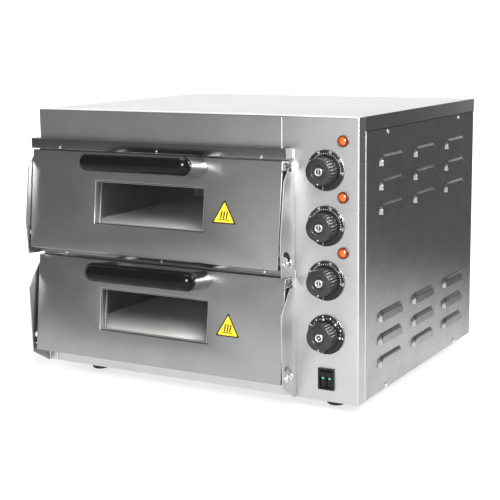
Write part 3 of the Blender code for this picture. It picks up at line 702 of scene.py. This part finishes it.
def louvred_panel():
    """The right side panel with its louvres pressed out and open along their lower edge."""
    x = WIDTH - SHEET
    bm = bmesh.new()
    columns = sorted([RETURN + GAP, DEPTH - SHEET]
                     + [y + s * LOUVRE_LENGTH / 2 for y in LOUVRE_COLUMNS for s in (-1, 1)])
    rows = sorted([0.0, SIDE_TOP] + [z + d for z in LOUVRE_ROWS for d in (0.0, LOUVRE_HEIGHT)])
    grid = [[bm.verts.new(at(x, y, z)) for z in rows] for y in columns]
    faces = []
    for i in range(len(columns) - 1):
        for j in range(len(rows) - 1):
            if i % 2 == 0 or j % 2 == 0:
                faces.append(bm.faces.new((grid[i][j], grid[i + 1][j], grid[i + 1][j + 1], grid[i][j + 1])))
                continue
            faces += hood(bm, x, columns[i], rows[j])
    for face in faces:
        face.normal_update()
        if face.normal.x < 0:
            face.normal_flip()
    bm = thickened(bm, SIDE_SHEET)
    obj = piece("right_side_sheet", bm, STEEL_SIDE, "cabinet", ("right_side_panel",))
    for y in SIDE_NOTCHES:
        notch = turned([(0, -0.004), (0.0046, -0.004), (0.0046, 0.004), (0, 0.004)], 24)
        cut_out(obj, placed(notch, Matrix.Translation(at(x, y, 0.0040)) @ FACING_RIGHT))
    return obj


def mirrored(obj):
    """A piece's mesh, mirrored across the cabinet's middle."""
    bm = bmesh.new()
    bm.from_mesh(obj.data)
    bm.transform(Matrix.Translation((2 * at(WIDTH / 2, 0, 0).x, 0, 0)) @ Matrix.Scale(-1, 4, (1, 0, 0)))
    bmesh.ops.reverse_faces(bm, faces=bm.faces)
    return bm


def hood(bm, x, y_start, z_start):
    """The grid of one louvre."""
    across, up = LOUVRE_CELLS
    verts = []
    for i in range(across + 1):
        u = LOUVRE_LENGTH * i / across
        column = []
        for j in range(up + 1):
            v = LOUVRE_HEIGHT * j / up
            column.append(bm.verts.new(at(x + louvre_rise(u, v), y_start + u, z_start + v)))
        verts.append(column)
    return [bm.faces.new((verts[i][j], verts[i + 1][j], verts[i + 1][j + 1], verts[i][j + 1]))
            for i in range(across) for j in range(up)]


def left_return():
    """The strip that closes the left side in front of its louvred panel, below the fascia."""
    outline = ((SHEET, 0.0), (RETURN, 0.0), (RETURN, FASCIA_BOTTOM), (SHEET, FASCIA_BOTTOM))
    strip = placed(plate_from(outline, SHEET), Matrix.Translation(CORNER) @ UPRIGHT)
    piece("left_return_sheet", strip, STEEL_SIDE, "cabinet")


def side_seams():
    """The bright edges of the front's returns, and near-black strips under the lid's skirt that paint the
    shadow of the gap there.
    """
    high = HEIGHT - SKIRT
    low = high - SHADOW_GAP_HEIGHT
    joint = ((RETURN, low), (DEPTH, low), (DEPTH, high), (RETURN, high))
    beads, joints = [], []
    for bead_x, joint_x in ((0.0002, SHEET - 0.0001), (WIDTH - 0.0002, WIDTH - SHEET - 0.0002)):
        beads.append(placed(bead(BEAD_RADIUS, 0.003, high), Matrix.Translation(at(bead_x, RETURN, 0))))
        joints.append(placed(plate_from(joint, 0.0003), Matrix.Translation(at(joint_x, 0, 0)) @ UPRIGHT))
    piece("side_seams", merged(beads), STEEL_FRAME, "cabinet")
    # the near-black strips are painted shadow in the gap under the lid's skirt
    piece("lid_shadow_gaps", merged(joints), SHADE_PAINTED_STEEL, "cabinet")


def side_panels():
    """Both louvred panels with their screws, and what closes and edges them."""
    right = louvred_panel()
    piece("left_side_sheet", mirrored(right), STEEL_SIDE, "cabinet", ("left_side_panel",))
    for side, x, turn in (("left", SHEET, FACING_LEFT), ("right", WIDTH - SHEET, FACING_RIGHT)):
        spots = [at(x, y, 0.3855) for y in SIDE_SCREWS] + [at(x, y, 0.0045) for y in SIDE_NOTCHES]
        heads = [placed(screw_head(0.0034, 0.0016), Matrix.Translation(spot) @ turn) for spot in spots]
        piece(side + "_side_screws", merged(heads), CHROME, "cabinet")
    left_return()
    side_seams()


# ---- doors -------------------------------------------------------------------------------------------
def hinge_place(deck_name):
    """Where a door's own frame is: on its hinge axis, leaning back, with X as in the cabinet's frame."""
    joint = next(j for j in frame["joints"] if j["name"] == deck_name + "_door_hinge")
    axis = Vector(joint["pos_m"])
    axis.x = CORNER.x + DOOR_SLIDE[deck_name]
    return Matrix.Translation(axis) @ Matrix.Rotation(-LEAN, 4, "X")


def door_skin(name, place):
    """The outer skin: a face with a window, folded back round its edge and round the window."""
    left, right = WINDOW_CENTRE - WINDOW_HALF, WINDOW_CENTRE + WINDOW_HALF
    pane = GLASS_FRONT - GAP
    outer = [(DOOR_LEFT, DOOR_LOW), (DOOR_RIGHT, DOOR_LOW), (DOOR_RIGHT, DOOR_TOP), (DOOR_LEFT, DOOR_TOP)]
    inner = [(left, WINDOW_LOW), (right, WINDOW_LOW), (right, WINDOW_TOP), (left, WINDOW_TOP)]

    def folded_back(start, end, depth):
        (x0, z0), (x1, z1) = start, end
        return [Vector((x0, DOOR_FACE, z0)), Vector((x1, DOOR_FACE, z1)),
                Vector((x1, depth, z1)), Vector((x0, depth, z0))]

    polygons = [[Vector((x, DOOR_FACE, z)) for x, z in (a, b, d, c)]
                for (a, b), (c, d) in zip(around(outer), around(inner))]
    polygons += [folded_back(a, b, DOOR_BACK) for a, b in around(outer)]
    bm = sheet_from(polygons, (WINDOW_CENTRE, 0.05, 0.07))
    middle = Vector((WINDOW_CENTRE, pane, (WINDOW_LOW + WINDOW_TOP) / 2))
    for a, b in around(inner):
        verts = []
        for corner in folded_back(a, b, pane):
            match = [v for v in bm.verts if (v.co - corner).length < 1e-5]
            verts.append(match[0] if match else bm.verts.new(corner))
        face = bm.faces.new(verts)
        face.normal_update()
        if face.normal.dot(middle - face.calc_center_median()) < 0:
            face.normal_flip()
    bm = thickened(rounded_folds(bm, 0.0014, False), SHEET)
    piece(name + "_door_sheet", bm, STEEL_DOOR, name + "_door", (name + "_door_skin",), place)


def window_lip(name, place):
    """A bright lip round the inside of the window's opening, in front of the pane."""
    half, width = WINDOW_HALF - SHEET, 0.0008
    low, high = WINDOW_LOW + SHEET, WINDOW_TOP - SHEET
    outer = [(-half, low), (half, low), (half, high), (-half, high)]
    inner = [(-half + width, low + width), (half - width, low + width),
             (half - width, high - width), (-half + width, high - width)]
    parts = [plate_from((a, b, d, c), 0.0076) for (a, b), (c, d) in zip(around(outer), around(inner))]
    spot = Matrix.Translation((WINDOW_CENTRE, GLASS_FRONT - GAP, 0)) @ FACING_FRONT
    piece(name + "_window_lip", merged(parts), STEEL_FRAME, name + "_door", place=place @ spot)


def door_handle(name, place):
    """A black round-ended bar on two steel legs, whose steel is darkened: painted shade that damps their
    highlights.
    """
    steps = 14
    turns = [math.pi / 2 * i / steps for i in range(steps + 1)]
    cap = [(HANDLE_RADIUS * math.sin(t), HANDLE_HALF + HANDLE_RADIUS * math.cos(t)) for t in turns]
    cap[0] = (0, cap[0][1])
    bar = turned([(r, -h) for r, h in cap] + cap[::-1], 56)
    spot = Matrix.Translation((HANDLE_CENTRE, DOOR_FACE - HANDLE_STANDOFF, HANDLE_RISE)) @ FACING_RIGHT
    piece(name + "_handle_bar", bar, HANDLE_BLACK, name + "_door",
          (name + "_door_handle",), place @ spot)
    end = HANDLE_STANDOFF - 0.004
    leg = [(0, GAP), (LEG_RADIUS - 0.0006, GAP), (LEG_RADIUS, 0.0009), (LEG_RADIUS, end), (0, end)]
    for side, x in (("left", HANDLE_CENTRE - HANDLE_HALF), ("right", HANDLE_CENTRE + HANDLE_HALF)):
        spot = Matrix.Translation((x, DOOR_FACE, HANDLE_RISE)) @ FACING_FRONT
        # the legs take the darkened steel: painted shade
        piece(f"{name}_{side}_handle_leg", turned(leg, 56), STEEL_LEG_SHADED, name + "_door",
              place=place @ spot)


def guide_studs(name, place):
    """Ears on the door's sides, and the headed studs on them that run in the fixed plates' slots."""
    outline = ((0.0085, -0.0020), (0.0168, -0.0020), (0.0188, -0.0010), (0.0195, 0.0008),
               (0.0195, 0.0040), (0.0188, 0.0057), (0.0168, 0.0065), (0.0085, 0.0065))
    y, z = SLOT_RADIUS * math.cos(LEAN), SLOT_RADIUS * math.sin(LEAN)
    ears, studs = [], []
    for plate, edge, start, turn in ((0.0, DOOR_LEFT, DOOR_LEFT, FACING_LEFT),
                                     (BAY_LEFT, DOOR_RIGHT, DOOR_RIGHT - SHEET, FACING_RIGHT)):
        ears.append(placed(plate_from(outline, SHEET), Matrix.Translation((start, 0, 0)) @ UPRIGHT))
        shank = abs(plate - DOOR_SLIDE[name] - edge) + GAP
        head = ((0.0046, 0), (0.0050, 0.0004), (0.0049, 0.0011), (0.0040, 0.0019), (0.0022, 0.0023),
                (0, 0.0023))
        stud = turned([(0, -0.0005), (0.0028, -0.0005), (0.0028, shank)]
                      + [(r, shank + rise) for r, rise in head], 28)
        studs.append(placed(stud, Matrix.Translation((edge, y, z)) @ turn))
    # the ears take near-black steel: painted shade in the gap between the door and its fixed plate
    piece(name + "_guide_ears", merged(ears), SHADE_PAINTED_STEEL, name + "_door", place=place)
    piece(name + "_guide_studs", merged(studs), CHROME, name + "_door", place=place)


def softened(outline, radius, steps=5):
    """A flat outline with its corners rounded."""
    points = [Vector(p) for p in outline]
    result = []
    for i, corner in enumerate(points):
        before, after = points[i - 1], points[(i + 1) % len(points)]
        start = corner + (before - corner).normalized() * radius
        end = corner + (after - corner).normalized() * radius
        for k in range(steps + 1):
            t = k / steps
            result.append(start * (1 - t) ** 2 + corner * 2 * t * (1 - t) + end * t * t)
    return result


def sticker(name, place):
    """A plain yellow triangle with a dark edge and three slanted strokes."""
    middle = STICKER_LOW + (STICKER_TOP - STICKER_LOW) / 3

    def triangle(scale, radius, thickness):
        corners = ((-STICKER_HALF, STICKER_LOW), (STICKER_HALF, STICKER_LOW), (0, STICKER_TOP))
        outline = [(x * scale, (z - middle) * scale + middle) for x, z in corners]
        return plate_from([p.to_tuple() for p in softened(outline, radius)], thickness)

    def layer(part, bm, rise, ink):
        piece(f"{name}_sticker_{part}", placed(bm, Matrix.Translation((0, 0, rise))), ink, name + "_door",
              place=face)

    face = place @ Matrix.Translation((STICKER_X, DOOR_FACE, 0)) @ FACING_FRONT
    layer("edge", triangle(1.0, 0.0022, 0.00018), 0, BLACK_INK)
    layer("face", triangle(0.83, 0.0020, 0.00010), 0.00014, YELLOW_INK)
    low, high, line = middle - 0.0046, middle + 0.0066, middle - 0.0066
    strokes = [plate_from(((x - 0.0020, low), (x + 0.0002, low), (x + 0.0020, high), (x - 0.0002, high)),
                          0.00012) for x in (-0.0046, 0.0, 0.0046)]
    strokes.append(plate_from(((-0.0090, line), (0.0090, line), (0.0090, line + 0.0012),
                               (-0.0090, line + 0.0012)), 0.00005))
    layer("strokes", merged(strokes), 0.00022, STROKE_INK)


def door_catch(name, deck):
    """A spring leaf and its screws at the top of each right fixed plate."""
    height = deck + 0.1680
    outline = ((-0.0330, height - 0.0013), (-0.0200, height - 0.0013), (-0.0150, height - 0.0048),
               (-0.0105, height - 0.0048), (-0.0105, height + 0.0070), (-0.0290, height + 0.0070),
               (-0.0330, height + 0.0030))
    leaf = placed(plate_from(outline, 0.0014), Matrix.Translation(at(BAY_LEFT - 0.0015, 0, 0)) @ UPRIGHT)
    piece(name + "_catch_leaf", leaf, STEEL_PLATE, "cabinet")
    heads = []
    for y, rise, radius in ((-0.0150, -0.0006, 0.0032), (-0.0150, 0.0052, 0.0024), (-0.0235, 0.0046, 0.0030)):
        head = turned([(0, 0), (radius, 0), (radius, 0.0012), (radius * 0.7, 0.0020), (0, 0.0021)], 24)
        heads.append(placed(head, Matrix.Translation(at(BAY_LEFT, y, height + rise)) @ FACING_RIGHT))
    piece(name + "_catch_screws", merged(heads), SCREW_DARK, "cabinet")


def doors():
    for name in DECKS:
        place = hinge_place(name)
        door_skin(name, place)
        window_lip(name, place)
        door_handle(name, place)
        guide_studs(name, place)
        sticker(name, place)
        door_catch(name, DECKS[name])
        refined(name + "_door_liner", STEEL_DULL)
        refined(name + "_door_glass", GLASS, 0.0003)
        for side in ("left", "right"):
            refined(f"{name}_{side}_pivot_screw", CHROME, 0.0002)


# ---- controls ----------------------------------------------------------------------------------------
def number(text, size):
    """A printed number, flat in XY about its own middle."""
    curve = bpy.data.curves.new("number", "FONT")
    curve.body = text
    curve.size = size
    curve.align_x = "CENTER"
    curve.align_y = "CENTER"
    curve.offset = size * 0.012
    obj = linked("number", curve)
    bpy.context.view_layer.update()
    mesh = bpy.data.meshes.new_from_object(obj.evaluated_get(bpy.context.evaluated_depsgraph_get()))
    bm = bmesh.new()
    bm.from_mesh(mesh)
    bpy.data.objects.remove(obj)
    bpy.data.curves.remove(curve)
    bpy.data.meshes.remove(mesh)
    return bm


def round_the_dial(angle, radius):
    """From a mark's own place to its place on a dial; the angle runs clockwise from the top."""
    a = math.radians(angle)
    return Matrix.Translation((radius * math.sin(a), radius * math.cos(a), 0)) @ Matrix.Rotation(-a, 4, "Z")


def mark(angle, radius, width, height):
    """A small printed bar on a dial."""
    return placed(plate_from(box_outline(width / 2, height / 2), 0.00004), round_the_dial(angle, radius))


def dial_print(name, z):
    """A dial's marks and numbers, and the bright rim of its plate."""
    marks = [mark(OFF_MARK, 0.0255, 0.0010, 0.0050)]
    if name == "timer":
        for angle in TIMER_MARKS:
            marks.append(mark(angle, 0.0225, 0.0030, 0.0028))
            marks.append(mark(angle, 0.0267, 0.0018, 0.0018))
        for angle in TIMER_MARKS[1:]:
            marks.append(mark(angle - 26.7, 0.0250, 0.0019, 0.0019))
            marks.append(mark(angle - 13.4, 0.0235, 0.0009, 0.0012))
            marks.append(mark(angle - 40.1, 0.0235, 0.0009, 0.0012))
    else:
        for text, angle in THERMOSTAT_LABELS.items():
            marks.append(mark(angle, 0.0240, 0.0017, 0.0017))
            marks.append(placed(number(text, 0.0032), round_the_dial(angle, 0.0268)))
        for step in range(SCALE_DOTS):
            marks.append(mark(SCALE_START + SCALE_STEP * step, 0.0238, 0.0010, 0.0010))
    spot = facing_front(DIAL_X, -DIAL_THICK - 0.00002, z)
    piece(name + "_dial_print", merged(marks), WHITE_INK, "cabinet", place=spot)
    rim = turned([(0.0286, 0.0017), (0.0290, 0.0021), (0.0290, 0.0017)], 96)
    spot = facing_front(DIAL_X, 0, z)
    piece(name + "_dial_rim", rim, CHROME, "cabinet", place=spot)


def knob(name, z):
    """A fluted grip with a dished middle, its shaft's end, and a pointer dot."""
    flutes, flute_depth, fluted = 24, 0.0011, (7, 8)
    face = 0.0236                # height of the dished middle
    profile = [(0, -0.014), (0.0030, -0.014), (0.0030, 0.0034), (0.0190, 0.0034), (0.0199, 0.0042),
               (0.0200, 0.0070), (0.0201, 0.0076), (0.0202, 0.0080), (0.0197, 0.0232), (0.0195, 0.0252),
               (0.0189, 0.0265), (0.0180, 0.0270), (0.0102, 0.0270), (0.0088, 0.0258), (0.0083, 0.0240),
               (0, face)]
    grip = turned(profile, 192, flutes, flute_depth, fluted)
    spot = facing_front(DIAL_X, 0, z)
    body = name + "_dial"
    piece(name + "_knob_grip", grip, KNOB_BLACK, body, (name + "_knob",), spot, 40.0)
    # a deeper black skirt at the grip's foot: painted shadow where the knob meets its dial
    skirt = turned([(0.0190, 0.0026), (0.0212, 0.0026), (0.0214, 0.0034), (0.0212, 0.0066),
                    (0.0195, 0.0070)], 96)
    piece(name + "_knob_shadow_skirt", skirt, SWITCH_BLACK, body, place=spot)
    ring = [(0.0038, face), (0.0058, face), (0.0058, 0.0251), (0.0053, 0.0256), (0.0043, 0.0256),
            (0.0038, 0.0251)]
    shaft = turned(ring, 48)
    if name == "timer":
        middle = turned([(0, face), (0.0014, face), (0.0012, 0.0252), (0, 0.0254)], 24)
    else:
        middle = placed(plate_from(box_outline(0.0007, 0.0034), 0.0014), Matrix.Translation((0, 0, face)))
    shaft = merged((shaft, middle))
    piece(name + "_shaft_end", shaft, SHAFT_BRIGHT, body, place=spot)
    dot = placed(turned([(0, 0.0), (0.0009, 0.0), (0.0009, 0.00012), (0, 0.00014)], 20),
                 Matrix.Translation((0, -0.0170, 0.0270)))
    piece(name + "_pointer_dot", dot, WHITE_INK, body, place=spot)


def lamp_rims():
    for name, z in LAMP_Z.items():
        rim = turned([(0.0070, 0.0003), (0.0082, 0.0003), (0.0082, 0.0028), (0.0078, 0.0042),
                      (0.0070, 0.0052), (0.0062, 0.0054), (0.0058, 0.0044)], 48)
        spot = facing_front(LAMP_X, 0, z)
        piece(name + "_lamp_rim", rim, AMBER_RIM, "cabinet", place=spot)


def switch_lights():
    for side, sign in (("left", -1), ("right", 1)):
        spot = at(SWITCH_X + sign * 0.0053, 0.0030, SWITCH_Z)
        tilt = Matrix.Translation(spot) @ Matrix.Rotation(math.radians(8.0), 4, "X")
        lens = turned([(0, 0.0), (0.0017, 0.0), (0.0015, 0.0004), (0.0008, 0.0007), (0, 0.0008)], 24)
        place = tilt @ Matrix.Translation((0, -0.0037, 0.0016)) @ FACING_FRONT
        piece(side + "_rocker_light", lens, GREEN_LENS, side + "_rocker", place=place)


def controls():
    for name, z in DIAL_Z.items():
        dial_print(name, z)
        knob(name, z)
    lamp_rims()
    switch_lights()


# ---- the rest of the CAD nodes, softened -------------------------------------------------------------
SLOT_LOOKS = {
    "brushed_steel": STEEL_X, "lid_steel": STEEL_X, "door_steel": STEEL_DOOR, "rail_steel": STEEL_RAIL_SHADED,
    "chamber_steel": STEEL_DULL, "element_steel": TUBE, "chrome": CHROME, "handle_plastic": HANDLE_BLACK,
    "dial_plastic": DIAL_BLACK, "switch_plastic": SWITCH_BLACK, "foot_rubber": RUBBER,
    "baking_stone": STONE, "insulation_wool": WOOL, "door_glass": GLASS, "lamp_lens": AMBER,
    "control_plastic": CREAM,
}
NODE_LOOKS = {
    # the left hinge plates take the darker plate steel: painted shade
    "upper_left_hinge_plate": STEEL_PLATE_LEFT_SHADED, "lower_left_hinge_plate": STEEL_PLATE_LEFT_SHADED,
    "upper_right_hinge_plate": STEEL_PLATE, "lower_right_hinge_plate": STEEL_PLATE,
    "upper_front_frame": STEEL_PANEL, "lower_front_frame": STEEL_FRAME,
}
FLAT_NODES = ("back_panel", "base_pan")       # wide flat sheets, shaded without softening


def carried_over():
    """Every node that has no piece of its own yet keeps its shape, with softer edges."""
    for part in frame["record"]["subparts"]:
        node, slot = part["node"], part["material_slot"]
        if frame["nodes"][node].hide_render:
            continue
        mat = NODE_LOOKS.get(node, SLOT_LOOKS[slot])
        angle = 50.0 if slot == "element_steel" else 30.0
        refined(node, mat, 0.0003, angle, 15.0 if node in FLAT_NODES else 30.0)


# ---- camera, light and stage -------------------------------------------------------------------------
CAMERA_PLACE = (1.2428, -1.4969, 0.5326)       # in the cabinet's frame
CAMERA_YAW = math.radians(29.10)
CAMERA_PITCH = math.radians(10.44)
CAMERA_ROLL = math.radians(-0.66)
CAMERA_LENS = 85.93
CAMERA_SHIFT = (-0.030, -0.002)

FLOOR_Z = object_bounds()[0][2]
FLOOR_FADE = (0.85, 1.60)     # metres from the fade's centre: full floor, no floor
FLOOR_CENTRE = (0.25, -0.60)
FLOOR_GLOW = 0.72             # the table is lit from below

WORLD_BASE = 0.13
# soft regions of the surroundings: azimuth, elevation, full within, gone beyond (degrees), strength,
# and how much they are flattened
WORLD_GLOWS = (
    (-22, -6, 34, 61, 0.85, 1.6),     # front, wider to the right
    (42, 0, 12, 40, 0.12, 0.6),       # front, far left
    (132, 5, 44, 61, 1.30, 0.8),      # behind, to the left
)


def camera():
    """The camera at its place, turned by yaw, pitch and roll."""
    sine, cosine = math.sin(CAMERA_YAW), math.cos(CAMERA_YAW)
    ahead = Vector((-sine * math.cos(CAMERA_PITCH), cosine * math.cos(CAMERA_PITCH), -math.sin(CAMERA_PITCH)))
    across = Vector((cosine, sine, 0))
    upward = across.cross(ahead)
    right = across * math.cos(CAMERA_ROLL) + upward * math.sin(CAMERA_ROLL)
    up = upward * math.cos(CAMERA_ROLL) - across * math.sin(CAMERA_ROLL)
    data = bpy.data.cameras.new("camera")
    data.lens = CAMERA_LENS
    data.sensor_width = 36.0
    data.shift_x, data.shift_y = CAMERA_SHIFT
    data.clip_start = 0.05
    obj = linked("camera", data)
    turn = Matrix((right, up, -ahead)).transposed().to_4x4()
    obj.matrix_world = Matrix.Translation(at(*CAMERA_PLACE)) @ turn
    bpy.context.scene.camera = obj


def floor():
    """A pale round floor, which fades out at its edge."""
    bm = bmesh.new()
    bmesh.ops.create_circle(bm, cap_ends=True, segments=96, radius=FLOOR_FADE[1] + 0.1)
    obj = object_of("studio_floor", bm)
    obj.location = (*FLOOR_CENTRE, FLOOR_Z - 0.0002)
    mat, tree, shader = principled("studio_floor")
    grain = object_noise(tree, even(40.0), 3.0)
    toned(tree, shader, grain, even(0.19), even(0.21))
    shader.inputs["Emission Color"].default_value = (1, 1, 1, 1)
    shader.inputs["Emission Strength"].default_value = FLOOR_GLOW
    shader.inputs["Roughness"].default_value = 0.9
    coords = tree.nodes.new("ShaderNodeTexCoord")
    away = operation(tree, "ShaderNodeVectorMath", "LENGTH", coords.outputs["Object"])
    fade = ranged(tree, away.outputs["Value"], 0.0, 1.0, *FLOOR_FADE)
    mixed_surface(tree, fade, shader, tree.nodes.new("ShaderNodeBsdfTransparent"))
    obj.data.materials.append(mat)


def area_light(name, place, target, side, power):
    """A square soft light."""
    data = bpy.data.lights.new(name, "AREA")
    data.shape = "RECTANGLE"
    data.size, data.size_y = side, side
    data.energy = power
    obj = linked(name, data)
    obj.location = place
    toward = Vector(target) - Vector(place)
    obj.rotation_euler = toward.to_track_quat("-Z", "Y").to_euler()


def direction(azimuth, elevation):
    """A unit vector; azimuth 0 is the oven's front (-Y), 90 its left (-X)."""
    a, e = math.radians(azimuth), math.radians(elevation)
    return Vector((-math.sin(a) * math.cos(e), -math.cos(a) * math.cos(e), math.sin(e)))


def world():
    """Plain surroundings with a few wide soft glows."""
    surroundings = bpy.data.worlds.new("studio")
    surroundings.use_nodes = True
    tree = surroundings.node_tree
    background = tree.nodes["Background"]
    coords = tree.nodes.new("ShaderNodeTexCoord")
    total = None
    for azimuth, elevation, inner, outer, strength, squash in WORLD_GLOWS:
        axis = direction(azimuth, elevation)
        axis.z *= squash
        axis.normalize()
        scaled = operation(tree, "ShaderNodeVectorMath", "MULTIPLY", coords.outputs["Generated"])
        scaled.inputs[1].default_value = (1, 1, squash)
        unit = operation(tree, "ShaderNodeVectorMath", "NORMALIZE", scaled.outputs["Vector"])
        dot = operation(tree, "ShaderNodeVectorMath", "DOT_PRODUCT", unit.outputs["Vector"])
        dot.inputs[1].default_value = axis
        angle = operation(tree, "ShaderNodeMath", "ARCCOSINE", dot.outputs["Value"])
        fade = ranged(tree, angle.outputs["Value"], strength, 0.0, math.radians(inner),
                      math.radians(outer), "SMOOTHSTEP")
        plus = operation(tree, "ShaderNodeMath", "ADD", fade)
        plus.inputs[1].default_value = WORLD_BASE
        if total is not None:
            link(tree, total, plus.inputs[1])
        total = plus.outputs["Value"]
    link(tree, total, background.inputs["Strength"])
    background.inputs["Color"].default_value = (1, 1, 1, 1)
    bpy.context.scene.world = surroundings


def lights():
    area_light("key", at(1.84, -1.80, 1.41), at(0.25, 0, 0.2), 0.8, 225)
    area_light("top", at(0.3, 0.30, 2.60), at(0.3, 0.1, 0), 1.6, 50)


def main():
    camera()
    floor()
    world()
    lights()
    control_panel()
    base_flange()
    top_fascia()
    lid()
    rails()
    side_panels()
    doors()
    controls()
    carried_over()
    scene = bpy.context.scene
    scene.view_settings.view_transform = "Standard"


main()
